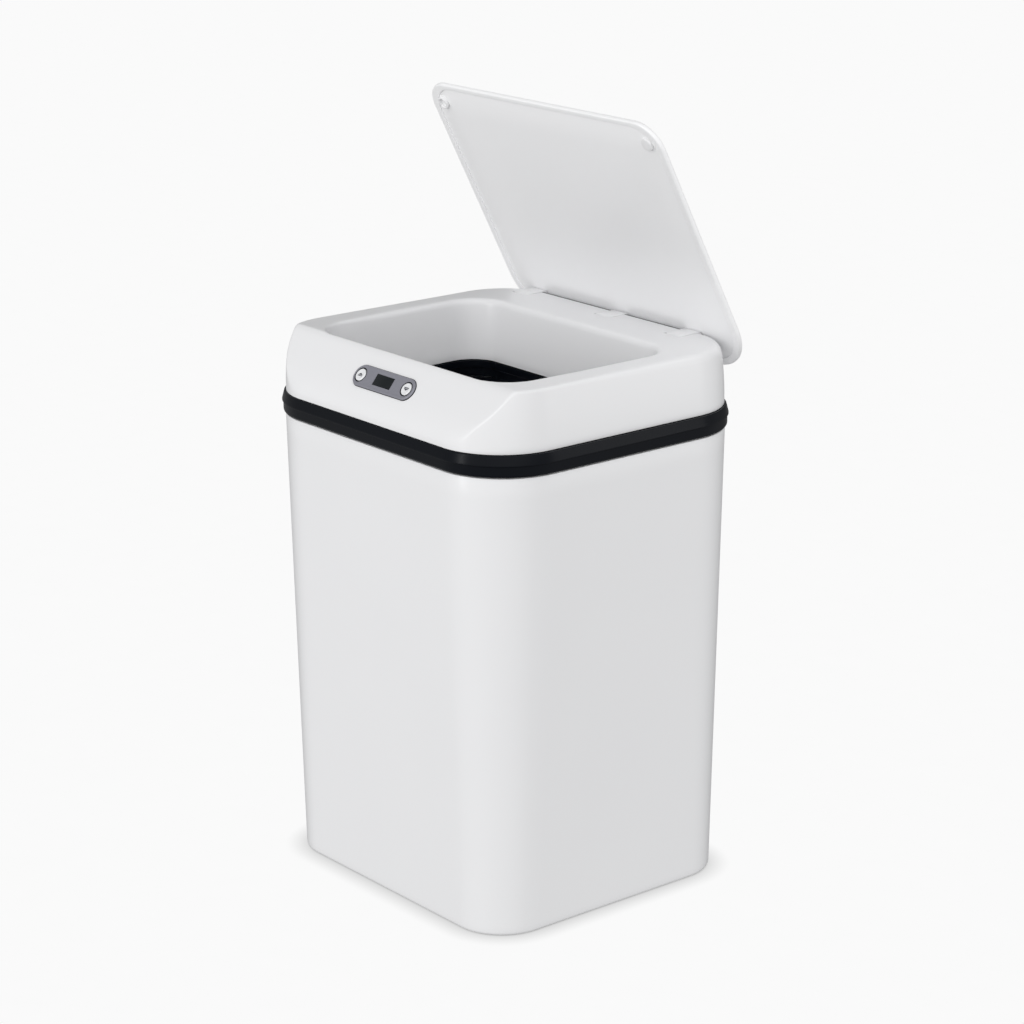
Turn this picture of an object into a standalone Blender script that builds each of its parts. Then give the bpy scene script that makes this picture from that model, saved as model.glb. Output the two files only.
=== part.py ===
"""Sensor trash can, rectangular, with a motor-driven lid. Modelled at rest with the lid open.

Frame: +Z up, origin on the floor under the centre of the can, front panel towards -Y.
All numbers below are millimetres; meshes are made in metres.
"""

import math

import bpy
from mathutils import Matrix, Vector

# ---------------------------------------------------------------- driving dimensions
CORNER_STEPS = 7  # facets per rounded corner

BODY_W0, BODY_D0, BODY_R0 = 221.4, 198.3, 33.9  # outer bin at the floor
BODY_W1, BODY_D1, BODY_R1 = 240.9, 212.1, 46.0  # outer bin at the band
BAND_Z0, BAND_Z1 = 299.2, 313.1
BODY_TOP = 310.6
BODY_WALL = 1.8
NECK = 1.9  # step in of the rim that the black band covers
FLOOR_T = 2.4

BAND_W, BAND_D, BAND_R = 243.8, 215.0, 47.5

HEAD_W, HEAD_D, HEAD_R = 238.5, 212.0, 45.5  # head outline just above the band
HEAD_Z0 = 314.2  # where the head wall starts to lean in
HEAD_FOOT = 313.4
DECK_Z = 351.6
HEAD_BULGE = 1.9  # how far the head wall leans in over HEAD_LEAN of height
HEAD_LEAN = 31.0
SKIN = 2.2
SLANT_Y, SLANT_Z, SLANT_K = -81.2, 351.6, 1.21  # slanted front: z = SLANT_Z + K (y - SLANT_Y)

THROAT_HX, THROAT_Y0, THROAT_Y1, THROAT_R = 96.8, -78.6, 57.5, 24.0  # opening at the deck
THROAT_BHX, THROAT_BY0, THROAT_BY1, THROAT_BR = 91.5, -73.0, 51.5, 20.0  # at its foot
THROAT_FOOT = 312.2
THROAT_WALL = 2.0

AXIS_Y, AXIS_Z = 92.17, 341.6  # lid hinge axis, along X
LID_OPEN = 62.75  # degrees from closed to the rest pose
LID_P = 11.6  # underside of the lid above the hinge axis
LID_HALF = 111.7
LID_FRONT, LID_TAIL = 168.0, 19.1  # reach each way from the foot of the axis
LID_EDGE, LID_T = 3.2, 5.4  # thickness at the edge and over the crown
LID_SIDE_RIM, LID_FRONT_RIM = 5.3, 3.3  # flat rim around the inner plate
LID_RF, LID_RR = 19.0, 33.0

ARM_X = (-84.6, -0.8, 67.6)  # hinge arm centres
ARM_W = 14.2
SLOT_SIDE = 0.6

MODULE = 0.8
SECTOR_TEETH, BIG_TEETH, SMALL_TEETH = 36, 18, 9

MM = 0.001


# ---------------------------------------------------------------- scene and materials
for old in list(bpy.data.objects):
    bpy.data.objects.remove(old, do_unlink=True)


def material(name, rgb, rough, metal=0.0):
    mat = bpy.data.materials.new(name)
    mat.use_nodes = True
    shader = mat.node_tree.nodes["Principled BSDF"]
    shader.inputs["Base Color"].default_value = (*rgb, 1.0)
    shader.inputs["Roughness"].default_value = rough
    shader.inputs["Metallic"].default_value = metal
    mat.diffuse_color = (*rgb, 1.0)
    return mat


WHITE = material("white_plastic", (0.80, 0.80, 0.81), 0.35)
BLACK = material("black_plastic", (0.012, 0.013, 0.016), 0.30)
GREY = material("grey_plastic", (0.26, 0.26, 0.30), 0.40)
LENS = material("dark_lens", (0.008, 0.010, 0.013), 0.10)
SILVER = material("button_silver", (0.80, 0.81, 0.83), 0.25, 0.3)
STEEL = material("steel", (0.60, 0.60, 0.62), 0.30, 1.0)
ACETAL = material("acetal", (0.86, 0.84, 0.78), 0.45)
BOARD = material("board_green", (0.03, 0.16, 0.08), 0.45)
CELL = material("cell_wrap", (0.10, 0.13, 0.20), 0.35, 0.4)
WIRE = material("wire_red", (0.30, 0.02, 0.02), 0.50)


# ---------------------------------------------------------------- mesh helpers
def add(name, verts, faces, mat, parent=None, sharp=35.0):
    """A closed mesh object from millimetre points."""
    mesh = bpy.data.meshes.new(name)
    mesh.from_pydata([(x * MM, y * MM, z * MM) for x, y, z in verts], [], faces)
    mesh.validate()
    mesh.shade_smooth()
    mesh.set_sharp_from_angle(angle=math.radians(sharp))
    obj = bpy.data.objects.new(name, mesh)
    obj.data.materials.append(mat)
    bpy.context.scene.collection.objects.link(obj)
    if parent is not None:
        obj.parent = parent
    return obj


def outline(w, d, r, cy=0.0, steps=CORNER_STEPS):
    """Rounded rectangle, anticlockwise from above. r is one radius, or (front, rear)."""
    rf, rr = r if isinstance(r, tuple) else (r, r)
    points = []
    for sx, sy, start in ((1, -1, -90), (1, 1, 0), (-1, 1, 90), (-1, -1, 180)):
        radius = rf if sy < 0 else rr
        for k in range(steps + 1):
            a = math.radians(start + 90.0 * k / steps)
            points.append(
                (
                    sx * (w / 2 - radius) + radius * math.cos(a),
                    cy + sy * (d / 2 - radius) + radius * math.sin(a),
                )
            )
    return points


def level(points, z):
    return [(x, y, z) for x, y in points]


def loft(name, rings, mat, ring_shaped=False, parent=None, sharp=35.0):
    """Bridges rings of equal length. A ring-shaped loft joins the last ring to the first."""
    n = len(rings[0])
    verts = [p for ring in rings for p in ring]
    faces = []
    count = len(rings)
    for k in range(count if ring_shaped else count - 1):
        a, b = k * n, ((k + 1) % count) * n
        for i in range(n):
            j = (i + 1) % n
            faces.append((a + i, a + j, b + j, b + i))
    if not ring_shaped:
        faces.append(tuple(range(n))[::-1])
        faces.append(tuple((count - 1) * n + i for i in range(n)))
    return add(name, verts, faces, mat, parent, sharp)


def prism_data(points, lo, hi, axis):
    """An extruded polygon. axis 'x' reads the points as (y, z), 'z' as (x, y), anticlockwise."""
    n = len(points)
    if axis == "x":
        verts = [(lo, a, b) for a, b in points] + [(hi, a, b) for a, b in points]
    elif axis == "y":  # points are (z, x)
        verts = [(b, lo, a) for a, b in points] + [(b, hi, a) for a, b in points]
    else:
        verts = [(a, b, lo) for a, b in points] + [(a, b, hi) for a, b in points]
    faces = [tuple(range(n))[::-1], tuple(range(n, 2 * n))]
    faces += [(i, (i + 1) % n, n + (i + 1) % n, n + i) for i in range(n)]
    return verts, faces


def circle(cy, cz, r, steps=20, start=0.0):
    return [
        (
            cy + r * math.cos(start + 2 * math.pi * i / steps),
            cz + r * math.sin(start + 2 * math.pi * i / steps),
        )
        for i in range(steps)
    ]


def box_data(lo, hi):
    (x0, y0, z0), (x1, y1, z1) = lo, hi
    return prism_data([(x0, y0), (x1, y0), (x1, y1), (x0, y1)], z0, z1, "z")


def placed(data, matrix):
    verts, faces = data
    return [tuple(matrix @ Vector(p)) for p in verts], faces


def solid(name, data, mat, parent=None, sharp=35.0):
    return add(name, data[0], data[1], mat, parent, sharp)


def tool(name, data):
    obj = add(name, data[0], data[1], GREY)
    obj.hide_render = True
    obj.display_type = "WIRE"
    return obj


def combine(obj, data_list, operation):
    for k, data in enumerate(data_list):
        helper = tool(f"{obj.name}_{operation.lower()}_{k}", data)
        mod = obj.modifiers.new(f"{operation.lower()}_{k}", "BOOLEAN")
        mod.operation = operation
        mod.solver = "EXACT"
        mod.object = helper
    return obj


def cut(obj, *data_list):
    return combine(obj, data_list, "DIFFERENCE")


def union(obj, *data_list):
    return combine(obj, data_list, "UNION")


def bevel(obj, width, segments=2, angle=40.0):
    mod = obj.modifiers.new("edge", "BEVEL")
    mod.width = width * MM
    mod.segments = segments
    mod.limit_method = "ANGLE"
    mod.angle_limit = math.radians(angle)
    return obj


def empty(name, location):
    obj = bpy.data.objects.new(name, None)
    obj.location = [c * MM for c in location]
    bpy.context.scene.collection.objects.link(obj)
    return obj


# ---------------------------------------------------------------- outer bin
def body_outline(z, inward=0.0):
    t = z / 300.0
    w = BODY_W0 + (BODY_W1 - BODY_W0) * t - 2 * inward
    d = BODY_D0 + (BODY_D1 - BODY_D0) * t - 2 * inward
    r = BODY_R0 + (BODY_R1 - BODY_R0) * t - inward
    return outline(w, d, r)


rings = [
    level(body_outline(0, 2.4), 0.0),
    level(body_outline(0.7, 0.7), 0.7),
    level(body_outline(2.6), 2.6),
    level(body_outline(298.8), 298.8),
    level(body_outline(298.9, NECK), 298.9),
    level(body_outline(BODY_TOP, NECK), BODY_TOP),
    level(body_outline(BODY_TOP, NECK + BODY_WALL), BODY_TOP),
    level(body_outline(296.0, NECK + BODY_WALL), 296.0),
    level(body_outline(292.0, BODY_WALL), 292.0),
    level(body_outline(7, BODY_WALL), FLOOR_T + 4.0),
    level(body_outline(3, BODY_WALL + 4.0), FLOOR_T),
]
outer_body = loft("outer_body", rings, WHITE)


# ---------------------------------------------------------------- black frame ring with the band
def band(inward):
    return outline(BAND_W - 2 * inward, BAND_D - 2 * inward, BAND_R - inward)


def collar(grow, z_share=1.0):
    """Outline of the throat's foot, grown outward."""
    w = 2 * (THROAT_BHX + grow)
    d = THROAT_BY1 - THROAT_BY0 + 2 * grow
    return outline(w, d, THROAT_BR + grow, (THROAT_BY0 + THROAT_BY1) / 2)


rings = [
    level(band(1.2), BAND_Z0 + 0.2),
    level(band(0.1), BAND_Z0 + 2.2),
    level(band(0.0), 306.0),
    level(band(-0.7), 307.0),
    level(band(0.5), 312.2),
    level(band(1.4), BAND_Z1),
    level(band(4.2), BAND_Z1),
    level(collar(4.2), 312.9),
    level(collar(2.6), 311.9),
    level(collar(0.0), 311.9),
    level(collar(0.0), 306.6),
    level(collar(1.0), 306.6),
    level(collar(1.0), 300.4),
    level(collar(2.8), 300.4),
    level(collar(2.8), 309.6),
    level(band(8.6), 311.2),
    level(band(7.0), 303.0),
    level(band(5.2), 303.0),
    level(band(5.2), 311.2),
    level(band(2.6), 311.2),
    level(band(2.6), BAND_Z0 + 0.2),
]
trim_ring = loft("trim_ring", rings, BLACK, ring_shaped=True)

rings = [
    level(collar(1.1), 300.0),
    level(collar(1.1), 289.0),
    level(collar(4.8), 288.0),
    level(collar(4.8), 290.0),
    level(collar(2.9), 291.0),
    level(collar(2.9), 300.0),
]
bag_ring = loft("bag_ring", rings, BLACK, ring_shaped=True)


# ---------------------------------------------------------------- head shell
def lean(z):
    t = max(0.0, (z - HEAD_Z0) / HEAD_LEAN)
    return HEAD_BULGE * t * t


def head_outline(z, inward=0.0):
    i = lean(z) + inward
    return outline(HEAD_W - 2 * i, HEAD_D - 2 * i, HEAD_R - i)


def top_z(y):
    return min(DECK_Z, SLANT_Z + SLANT_K * (y - SLANT_Y))


def throat(grow, t):
    """Opening outline, t = 0 at the deck and 1 at the foot, grown outward."""
    hx = THROAT_HX + (THROAT_BHX - THROAT_HX) * t + grow
    y0 = THROAT_Y0 + (THROAT_BY0 - THROAT_Y0) * t - grow
    y1 = THROAT_Y1 + (THROAT_BY1 - THROAT_Y1) * t + grow
    r = THROAT_R + (THROAT_BR - THROAT_R) * t + grow
    return outline(2 * hx, y1 - y0, r, (y0 + y1) / 2)


def blend(t):
    t = min(1.0, max(0.0, t))
    return t * t * (3 - 2 * t)


def head_shell_rings():
    count = len(outline(10, 10, 1))
    columns = []
    mouth4, mouth1, mouth0 = throat(4.0, 0), throat(1.2, 0), throat(0.0, 0)
    foot0, foot2 = throat(0.0, 1), throat(THROAT_WALL, 1)
    back2, under4 = throat(THROAT_WALL, 0), throat(4.6, 0)
    for i in range(count):
        x, y = head_outline(343.0)[i]
        zt = top_z(y)
        if zt < DECK_Z - 0.01:
            for _ in range(12):
                x, y = head_outline(zt)[i]
                zt = top_z(y)
        s = min(1.0, max(0.0, (zt - 338.0) / (DECK_Z - 338.0)))
        # the edge is crisp at the front, softer further back, and round where the lid swings past
        e = 1.6 + (0.5 + 2.9 * blend((y + 75.0) / 150.0)) * blend(s)
        extra = 5.5 * blend((y - 84.0) / 14.0)
        e += extra
        col = []

        def wall(z, inward=0.0):
            px, py = head_outline(z, inward)[i]
            return (px, py, z)

        col.append(wall(HEAD_FOOT))
        col.append(wall(HEAD_Z0 + 0.55 * (zt - e - HEAD_Z0)))
        col.append(wall(zt - e))
        base = lean(zt - e)

        def rim(inward):
            px, py = outline(
                HEAD_W - 2 * (base + inward),
                HEAD_D - 2 * (base + inward),
                HEAD_R - base - inward,
            )[i]
            return px, py

        ax, ay = rim(0.30 * e)
        bx, by = rim(e)
        ztop = top_z(by)
        col.append((ax, ay, min(zt - e + 0.62 * e, top_z(ay))))
        col.append((bx, by, ztop))
        mx, my = mouth4[i]
        my = max(my, SLANT_Y + 0.2)
        if by < SLANT_Y < my:
            t = (SLANT_Y - by) / (my - by)
        elif my <= SLANT_Y:
            t = 0.9
        else:
            t = 0.1
        t = min(0.9, max(0.1, t))
        cx, cy = bx + (mx - bx) * t, by + (my - by) * t
        col.append((cx, cy, top_z(cy)))
        col.append((mx, my, DECK_Z))
        col.append((*mouth1[i], DECK_Z - 1.2))
        col.append((*mouth0[i], DECK_Z - 4.0))
        col.append((*foot0[i], THROAT_FOOT))
        col.append((*foot2[i], THROAT_FOOT))
        col.append((*back2[i], DECK_Z - 6.6))
        ux, uy = under4[i]
        drop = SKIN + 1.1 * (1 - s)
        col.append((ux, uy, min(DECK_Z - SKIN, top_z(uy) - drop)))
        if t > 0.5:
            ux2, uy2 = cx + (ux - cx) * 0.2, cy + (uy - cy) * 0.2
        else:
            ux2, uy2 = cx + (ux - cx) * 0.3, cy + (uy - cy) * 0.3
        col.append((ux2, uy2, min(DECK_Z - SKIN, top_z(uy2) - drop)))
        ix, iy = rim(SKIN + 2.4 + 0.9 * extra)
        zi = top_z(iy) - drop
        col.append((ix, iy, zi))
        px, py = rim(SKIN)
        zw = min(zi - 1.6, top_z(py) - drop - 1.2) - 1.25 * extra
        px, py = head_outline(zw, SKIN)[i]
        col.append((px, py, zw))
        px, py = head_outline(HEAD_FOOT, SKIN)[i]
        col.append((px, py, HEAD_FOOT))
        columns.append(col)
    return [[col[k] for col in columns] for k in range(len(columns[0]))]


head_shell = loft("head_shell", head_shell_rings(), WHITE, ring_shaped=True)

# screw posts under the deck
POSTS = [(103.0, -66.0), (103.0, 72.0), (-103.0, 72.0), (-103.0, -66.0), (-45.0, 78.0)]
union(
    head_shell,
    *[
        prism_data(circle(px, py, 3.6, 12), 317.0, DECK_Z - 1.0, "z")
        for px, py in POSTS
    ],
)

# local frame of the slanted front, centred on the control panel
CA = 1 / math.hypot(1, SLANT_K)
SA = SLANT_K * CA
PANEL_Y = -93.5
PANEL_Z = SLANT_Z + SLANT_K * (PANEL_Y - SLANT_Y)
SLANT = Matrix(
    (
        (1, 0, 0, 0),
        (0, CA, -SA, PANEL_Y),
        (0, SA, CA, PANEL_Z),
        (0, 0, 0, 1),
    )
)


def pill(length, height, steps=10):
    r = height / 2
    points = []
    for sx, start in ((1, -90), (-1, 90)):
        for k in range(steps + 1):
            a = math.radians(start + 180.0 * k / steps)
            points.append((sx * (length / 2 - r) + r * math.cos(a), r * math.sin(a)))
    return points


PILL_L, PILL_H = 59.8, 14.7
BUTTON_U = 23.2
WINDOW = (17.4, 7.7)

cutters = [placed(prism_data(pill(58.0, 11.4), -5.0, 4.0, "z"), SLANT)]
for ax in ARM_X:
    half = ARM_W / 2 + SLOT_SIDE
    cutters.append(box_data((ax - half, 83.5, 337.0), (ax + half, 112.0, 355.0)))
# battery door opening in the left side, switch slot in the rear
DOOR_Y, DOOR_Z0, DOOR_Z1 = 48.0, 318.6, 341.4
cutters.append(
    box_data((-125.0, -DOOR_Y, DOOR_Z0), (-112.0, DOOR_Y, DOOR_Z1))
)
SWITCH_X, SWITCH_Z = 50.0, 324.0
cutters.append(
    box_data(
        (SWITCH_X - 7.6, 98.0, SWITCH_Z - 4.6), (SWITCH_X + 7.6, 112.0, SWITCH_Z + 4.6)
    )
)
cut(head_shell, *cutters)


# ---------------------------------------------------------------- head base plate
BASE_Z0, BASE_Z1 = 314.5, 316.4
tb = (BASE_Z0 - THROAT_FOOT) / (DECK_Z - 4.0 - THROAT_FOOT)
rings = [
    level(head_outline(HEAD_Z0, SKIN + 0.4), BASE_Z0),
    level(head_outline(HEAD_Z0, SKIN + 0.4), BASE_Z1),
    level(throat(THROAT_WALL + 0.9, 1 - tb), BASE_Z1),
    level(throat(THROAT_WALL + 0.9, 1 - tb), BASE_Z0),
]
head_base = loft("head_base", rings, WHITE, ring_shaped=True)
cut(
    head_base,
    *[prism_data(circle(px, py, 3.4, 16), 313.0, 318.0, "z") for px, py in POSTS],
)


def screw(px, py, z0, z1, r_head, r_shank, head_t):
    """Pan screw standing head down, with its shank upwards."""
    steps = 12
    a = [(*p, z0) for p in circle(px, py, r_head, steps)]
    b = [(*p, z0 + head_t) for p in circle(px, py, r_head, steps)]
    c = [(*p, z0 + head_t) for p in circle(px, py, r_shank, steps)]
    d = [(*p, z1) for p in circle(px, py, r_shank, steps)]
    verts = a + b + c + d
    faces = [tuple(range(steps))[::-1], tuple(range(3 * steps, 4 * steps))]
    for k in range(3):
        for i in range(steps):
            j = (i + 1) % steps
            faces.append((k * steps + i, k * steps + j, (k + 1) * steps + j, (k + 1) * steps + i))
    return verts, faces


for label, (px, py) in zip(("front_right", "rear_right", "rear_left", "front_left", "middle"), POSTS):
    solid(f"base_screw_{label}", screw(px, py, 314.6, 316.7, 3.0, 1.3, 1.6), STEEL)


# ---------------------------------------------------------------- lid, modelled closed and swung open
hinge = empty("lid_hinge", (0, AXIS_Y, AXIS_Z))
hinge.rotation_euler = (math.radians(-LID_OPEN), 0, 0)

LID_MID = (LID_TAIL - LID_FRONT) / 2
LID_LEN = LID_TAIL + LID_FRONT


def lid_outline(inward):
    return outline(
        2 * (LID_HALF - inward),
        LID_LEN - 2 * inward,
        (LID_RF - inward, LID_RR - inward),
        LID_MID,
    )


def plate_outline(inward):
    """Outline of the recess for the inner plate, shrunk by inward."""
    side, front = LID_SIDE_RIM + inward, LID_FRONT_RIM + inward
    return outline(
        2 * (LID_HALF - side),
        LID_LEN - side - front,
        (LID_RF + 0.5 - inward, LID_RR - LID_SIDE_RIM - inward),
        LID_MID + (front - side) / 2,
    )


P = LID_P
rings = [
    level(plate_outline(8.0), P + 3.7),
    level(plate_outline(0.0), P + 2.15),
    level(plate_outline(0.0), P),
    level(lid_outline(1.1), P),
    level(lid_outline(0.3), P + 0.3),
    level(lid_outline(0.0), P + 1.0),
    level(lid_outline(0.0), P + LID_EDGE - 1.2),
    level(lid_outline(0.35), P + LID_EDGE - 0.4),
    level(lid_outline(1.3), P + LID_EDGE),
    level(lid_outline(4.5), P + 4.15),
    level(lid_outline(8.5), P + 4.95),
    level(lid_outline(14.0), P + LID_T),
]
lid_outer = loft("lid_outer", rings, WHITE, parent=hinge)
rings = [level(plate_outline(0.4), P + 0.25), level(plate_outline(0.4), P + 1.85)]
lid_inner = loft("lid_inner", rings, WHITE, parent=hinge)

BUMPER_X, BUMPER_V = 99.4, 153.2
for side, sx in (("left", -1), ("right", 1)):
    rows = [(4.5, P - 0.05), (4.5, P - 0.8), (3.7, P - 1.3)]
    steps = 20
    verts, faces = [], []
    for r, z in rows:
        verts += [(sx * BUMPER_X + a, -BUMPER_V + b, z) for a, b in circle(0, 0, r, steps)]
    faces.append(tuple(range(steps)))
    faces.append(tuple(2 * steps + i for i in range(steps))[::-1])
    for k in range(2):
        for i in range(steps):
            j = (i + 1) % steps
            faces.append((k * steps + j, k * steps + i, (k + 1) * steps + i, (k + 1) * steps + j))
    solid(f"lid_bumper_{side}", (verts, faces), WHITE, parent=hinge)

# hinge arms, drawn in the open pose around the axis as (y, z)
TH = math.radians(LID_OPEN)
PAD = LID_P - 0.1


def pad_point(v):
    return (
        PAD * math.sin(TH) - v * math.cos(TH),
        PAD * math.cos(TH) + v * math.sin(TH),
    )


def arm_outline():
    flat = 10.1
    v_top = (flat - PAD * math.cos(TH)) / math.sin(TH)
    points = [pad_point(v_top)]
    for k in range(5):
        a = math.radians(90 + 90 * k / 4)
        points.append((-4.4 + 3.2 * math.cos(a), flat - 3.2 + 3.2 * math.sin(a)))
    for k in range(6):
        a = math.radians(180 + 120 * k / 5)
        points.append((5.2 * math.cos(a), 5.2 * math.sin(a)))
    points.append(pad_point(-7.4))
    return [(AXIS_Y + a, AXIS_Z + b) for a, b in points]


lid_swing = empty("lid_swing", (0, AXIS_Y, AXIS_Z))


def on_axis(name, data, mat):
    """A piece that turns about the hinge axis: its origin is on that axis."""
    verts, faces = data
    moved = [(x, y - AXIS_Y, z - AXIS_Z) for x, y, z in verts]
    return add(name, moved, faces, mat, lid_swing)


SHAFT_R = 2.0
for label, ax in zip(("left", "middle", "right"), ARM_X):
    arm = on_axis(
        f"hinge_arm_{label}",
        prism_data(arm_outline(), ax - ARM_W / 2, ax + ARM_W / 2, "x"),
        WHITE,
    )
    cut(
        arm,
        prism_data(circle(AXIS_Y, AXIS_Z, SHAFT_R + 0.3, 16), ax - 10, ax + 10, "x"),
    )

hinge_pin_left = on_axis(
    "hinge_pin_left",
    prism_data(circle(AXIS_Y, AXIS_Z, SHAFT_R, 16), -93.0, -73.6, "x"),
    STEEL,
)
drive_shaft = on_axis(
    "drive_shaft",
    prism_data(circle(AXIS_Y, AXIS_Z, SHAFT_R, 16), -11.6, 81.6, "x"),
    STEEL,
)


# ---------------------------------------------------------------- gears
def gear_points(cy, cz, teeth, tooth_at, first=0, last=None, backlash=0.10):
    """Gear outline anticlockwise as (y, z). tooth_at is the angle of a tooth's middle, degrees."""
    r = MODULE * teeth / 2
    ra, rf = r + 0.72, r - 0.98
    pitch = 2 * math.pi / teeth
    half = pitch / 4 - backlash / r / 2
    press = math.radians(20)
    last = teeth if last is None else last
    points = []
    for k in range(first, last):
        a = math.radians(tooth_at) + k * pitch
        for radius, side in ((rf, -1), (r, -1), (ra, -1), (ra, 1), (r, 1), (rf, 1)):
            h = half - (radius - r) * math.tan(press) / r * 1.15
            h = max(0.12 * pitch, min(0.36 * pitch, h))
            ang = a + side * h
            points.append((cy + radius * math.cos(ang), cz + radius * math.sin(ang)))
    return points


def polar(cy, cz, r, deg):
    return (cy + r * math.cos(math.radians(deg)), cz + r * math.sin(math.radians(deg)))


MESH_S2 = 232.75  # direction from the hinge axis to gear 2, degrees in the (y, z) plane
MESH_21 = 165.0  # from gear 2 to gear 1
MESH_1M = 90.0  # from gear 1 to the motor
D_S2 = MODULE * (SECTOR_TEETH + SMALL_TEETH) / 2 + 0.05
D_GG = MODULE * (BIG_TEETH + SMALL_TEETH) / 2 + 0.05
G2 = polar(AXIS_Y, AXIS_Z, D_S2, MESH_S2)
G1 = polar(*G2, D_GG, MESH_21)
GM = polar(*G1, D_GG, MESH_1M)

# sector on the drive shaft: teeth only where the lid's swing needs them
step = 360.0 / SECTOR_TEETH
first_tooth = MESH_S2 + step / 2
teeth = gear_points(AXIS_Y, AXIS_Z, SECTOR_TEETH, first_tooth, -8, 1)
hub = [
    polar(AXIS_Y, AXIS_Z, 5.0, a)
    for a in (255, 280, 305, 330, 355, 20, 45, 70, 95, 120, 140)
]
drive_sector = on_axis("drive_sector", prism_data(teeth + hub, 18.0, 23.0, "x"), ACETAL)
cut(
    drive_sector,
    prism_data(circle(AXIS_Y, AXIS_Z, SHAFT_R + 0.3, 16), 15.0, 26.0, "x"),
)

PIN_R = 1.2


def spinning(name, centre, data, mat, *cutters):
    """A gear whose origin is on its own axis."""
    cy, cz = centre
    verts, faces = data
    obj = add(name, [(x, y - cy, z - cz) for x, y, z in verts], faces, mat)
    obj.location = (0, cy * MM, cz * MM)
    if cutters:
        cut(obj, *cutters)
    return obj


def compound(name, centre, big_at, small_at, big_x, small_x):
    big = prism_data(gear_points(*centre, BIG_TEETH, big_at), *big_x, "x")
    small = prism_data(gear_points(*centre, SMALL_TEETH, small_at), *small_x, "x")
    obj = spinning(name, centre, big, ACETAL)
    union(obj, small)
    cut(obj, prism_data(circle(*centre, PIN_R + 0.3, 16), small_x[0] - 9, big_x[1] + 9, "x"))
    return obj


reduction_gear_2 = compound(
    "reduction_gear_2", G2, MESH_21 + 10, MESH_S2 + 180, (23.5, 28.0), (17.4, 23.8)
)
reduction_gear_1 = compound(
    "reduction_gear_1", G1, MESH_1M + 10, MESH_21 + 180, (28.6, 32.8), (23.7, 28.9)
)
motor_pinion = spinning(
    "motor_pinion",
    GM,
    prism_data(gear_points(*GM, SMALL_TEETH, MESH_1M + 180), 28.4, 33.4, "x"),
    STEEL,
    prism_data(circle(*GM, 1.3, 12), 20, 40, "x"),
)
motor_shaft = spinning(
    "motor_shaft", GM, prism_data(circle(*GM, 1.0, 12), 28.0, 42.0, "x"), STEEL
)
gear_pin_1 = solid(
    "gear_pin_1", prism_data(circle(*G1, PIN_R, 12), 13.0, 37.2, "x"), STEEL
)
gear_pin_2 = solid(
    "gear_pin_2", prism_data(circle(*G2, PIN_R, 12), 13.0, 37.2, "x"), STEEL
)

motor_can = solid(
    "motor_can", prism_data(circle(*GM, 7.5, 24), 37.2, 61.4, "x"), STEEL
)
cut(motor_can, prism_data(circle(*GM, 1.3, 12), 30.0, 43.0, "x"))
motor_end_cap = solid(
    "motor_end_cap", prism_data(circle(*GM, 7.1, 24), 61.8, 64.6, "x"), BLACK
)

frame_y0, frame_y1 = 63.7, 96.6
gearbox_frame = solid(
    "gearbox_frame", box_data((13.6, frame_y0, 316.8), (15.6, frame_y1, 344.6)), ACETAL
)
union(
    gearbox_frame,
    box_data((34.6, frame_y0, 316.8), (36.6, frame_y1, 344.6)),
    box_data((14.0, 90.4, 316.8), (36.2, 96.2, 322.4)),
    box_data((14.0, 64.1, 316.8), (36.2, 68.7, 319.2)),
)
cut(
    gearbox_frame,
    prism_data(circle(AXIS_Y, AXIS_Z, SHAFT_R + 0.3, 16), 8.0, 42.0, "x"),
    prism_data(circle(*G1, PIN_R + 0.3, 12), 8.0, 42.0, "x"),
    prism_data(circle(*G2, PIN_R + 0.3, 12), 8.0, 42.0, "x"),
    prism_data(circle(*GM, 1.9, 12), 30.0, 42.0, "x"),
)


# hinge brackets: cheeks on a foot, beside each arm. The left corner has room for one cheek only.
def bracket(name, ax, both=True):
    inner = ARM_W / 2 + 0.9
    t = 2.0 if both else 3.6
    y0, y1, z0, z1 = 85.1, 96.0, 316.8, 345.0
    outer = [(z0, ax + inner + t), (z1, ax + inner + t), (z1, ax + inner)]
    if both:
        shape = [(z0, ax - inner - t)] + outer
        shape += [(z0 + 2.4, ax + inner), (z0 + 2.4, ax - inner)]
        shape += [(z1, ax - inner), (z1, ax - inner - t)]
    else:
        shape = [(z0, ax + 1.0)] + outer + [(z0 + 2.4, ax + inner), (z0 + 2.4, ax + 1.0)]
    obj = solid(name, prism_data(shape[::-1], y0, y1, "y"), ACETAL)
    cut(
        obj,
        prism_data(circle(AXIS_Y, AXIS_Z, SHAFT_R + 0.3, 16), ax - 20, ax + 20, "x"),
    )
    return obj


hinge_bracket_left = bracket("hinge_bracket_left", ARM_X[0], False)
hinge_bracket_middle = bracket("hinge_bracket_middle", ARM_X[1])
hinge_bracket_right = bracket("hinge_bracket_right", ARM_X[2])


# ---------------------------------------------------------------- battery compartment, left side
holder = solid(
    "battery_holder", box_data((-112.8, -48.6, 316.8), (-98.9, 48.6, 342.8)), BLACK
)
cut(holder, box_data((-116.0, -47.2, 318.0), (-100.1, 47.2, 341.6)))
CELL_R, CELL_X = 5.2, -106.4
for row, zc in (("lower", 324.2), ("upper", 335.4)):
    for end, y0 in (("front", -44.6), ("rear", 0.4)):
        solid(
            f"battery_{row}_{end}",
            prism_data(circle(zc, CELL_X, CELL_R, 20), y0, y0 + 44.2, "y"),
            CELL,
        )
for end, y0, y1 in (("front", -46.6, -45.0), ("rear", 45.0, 46.6)):
    solid(
        f"battery_contact_{end}",
        box_data((CELL_X - 4, y0, 320.0), (CELL_X + 4, y1, 339.6)),
        STEEL,
    )

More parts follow.
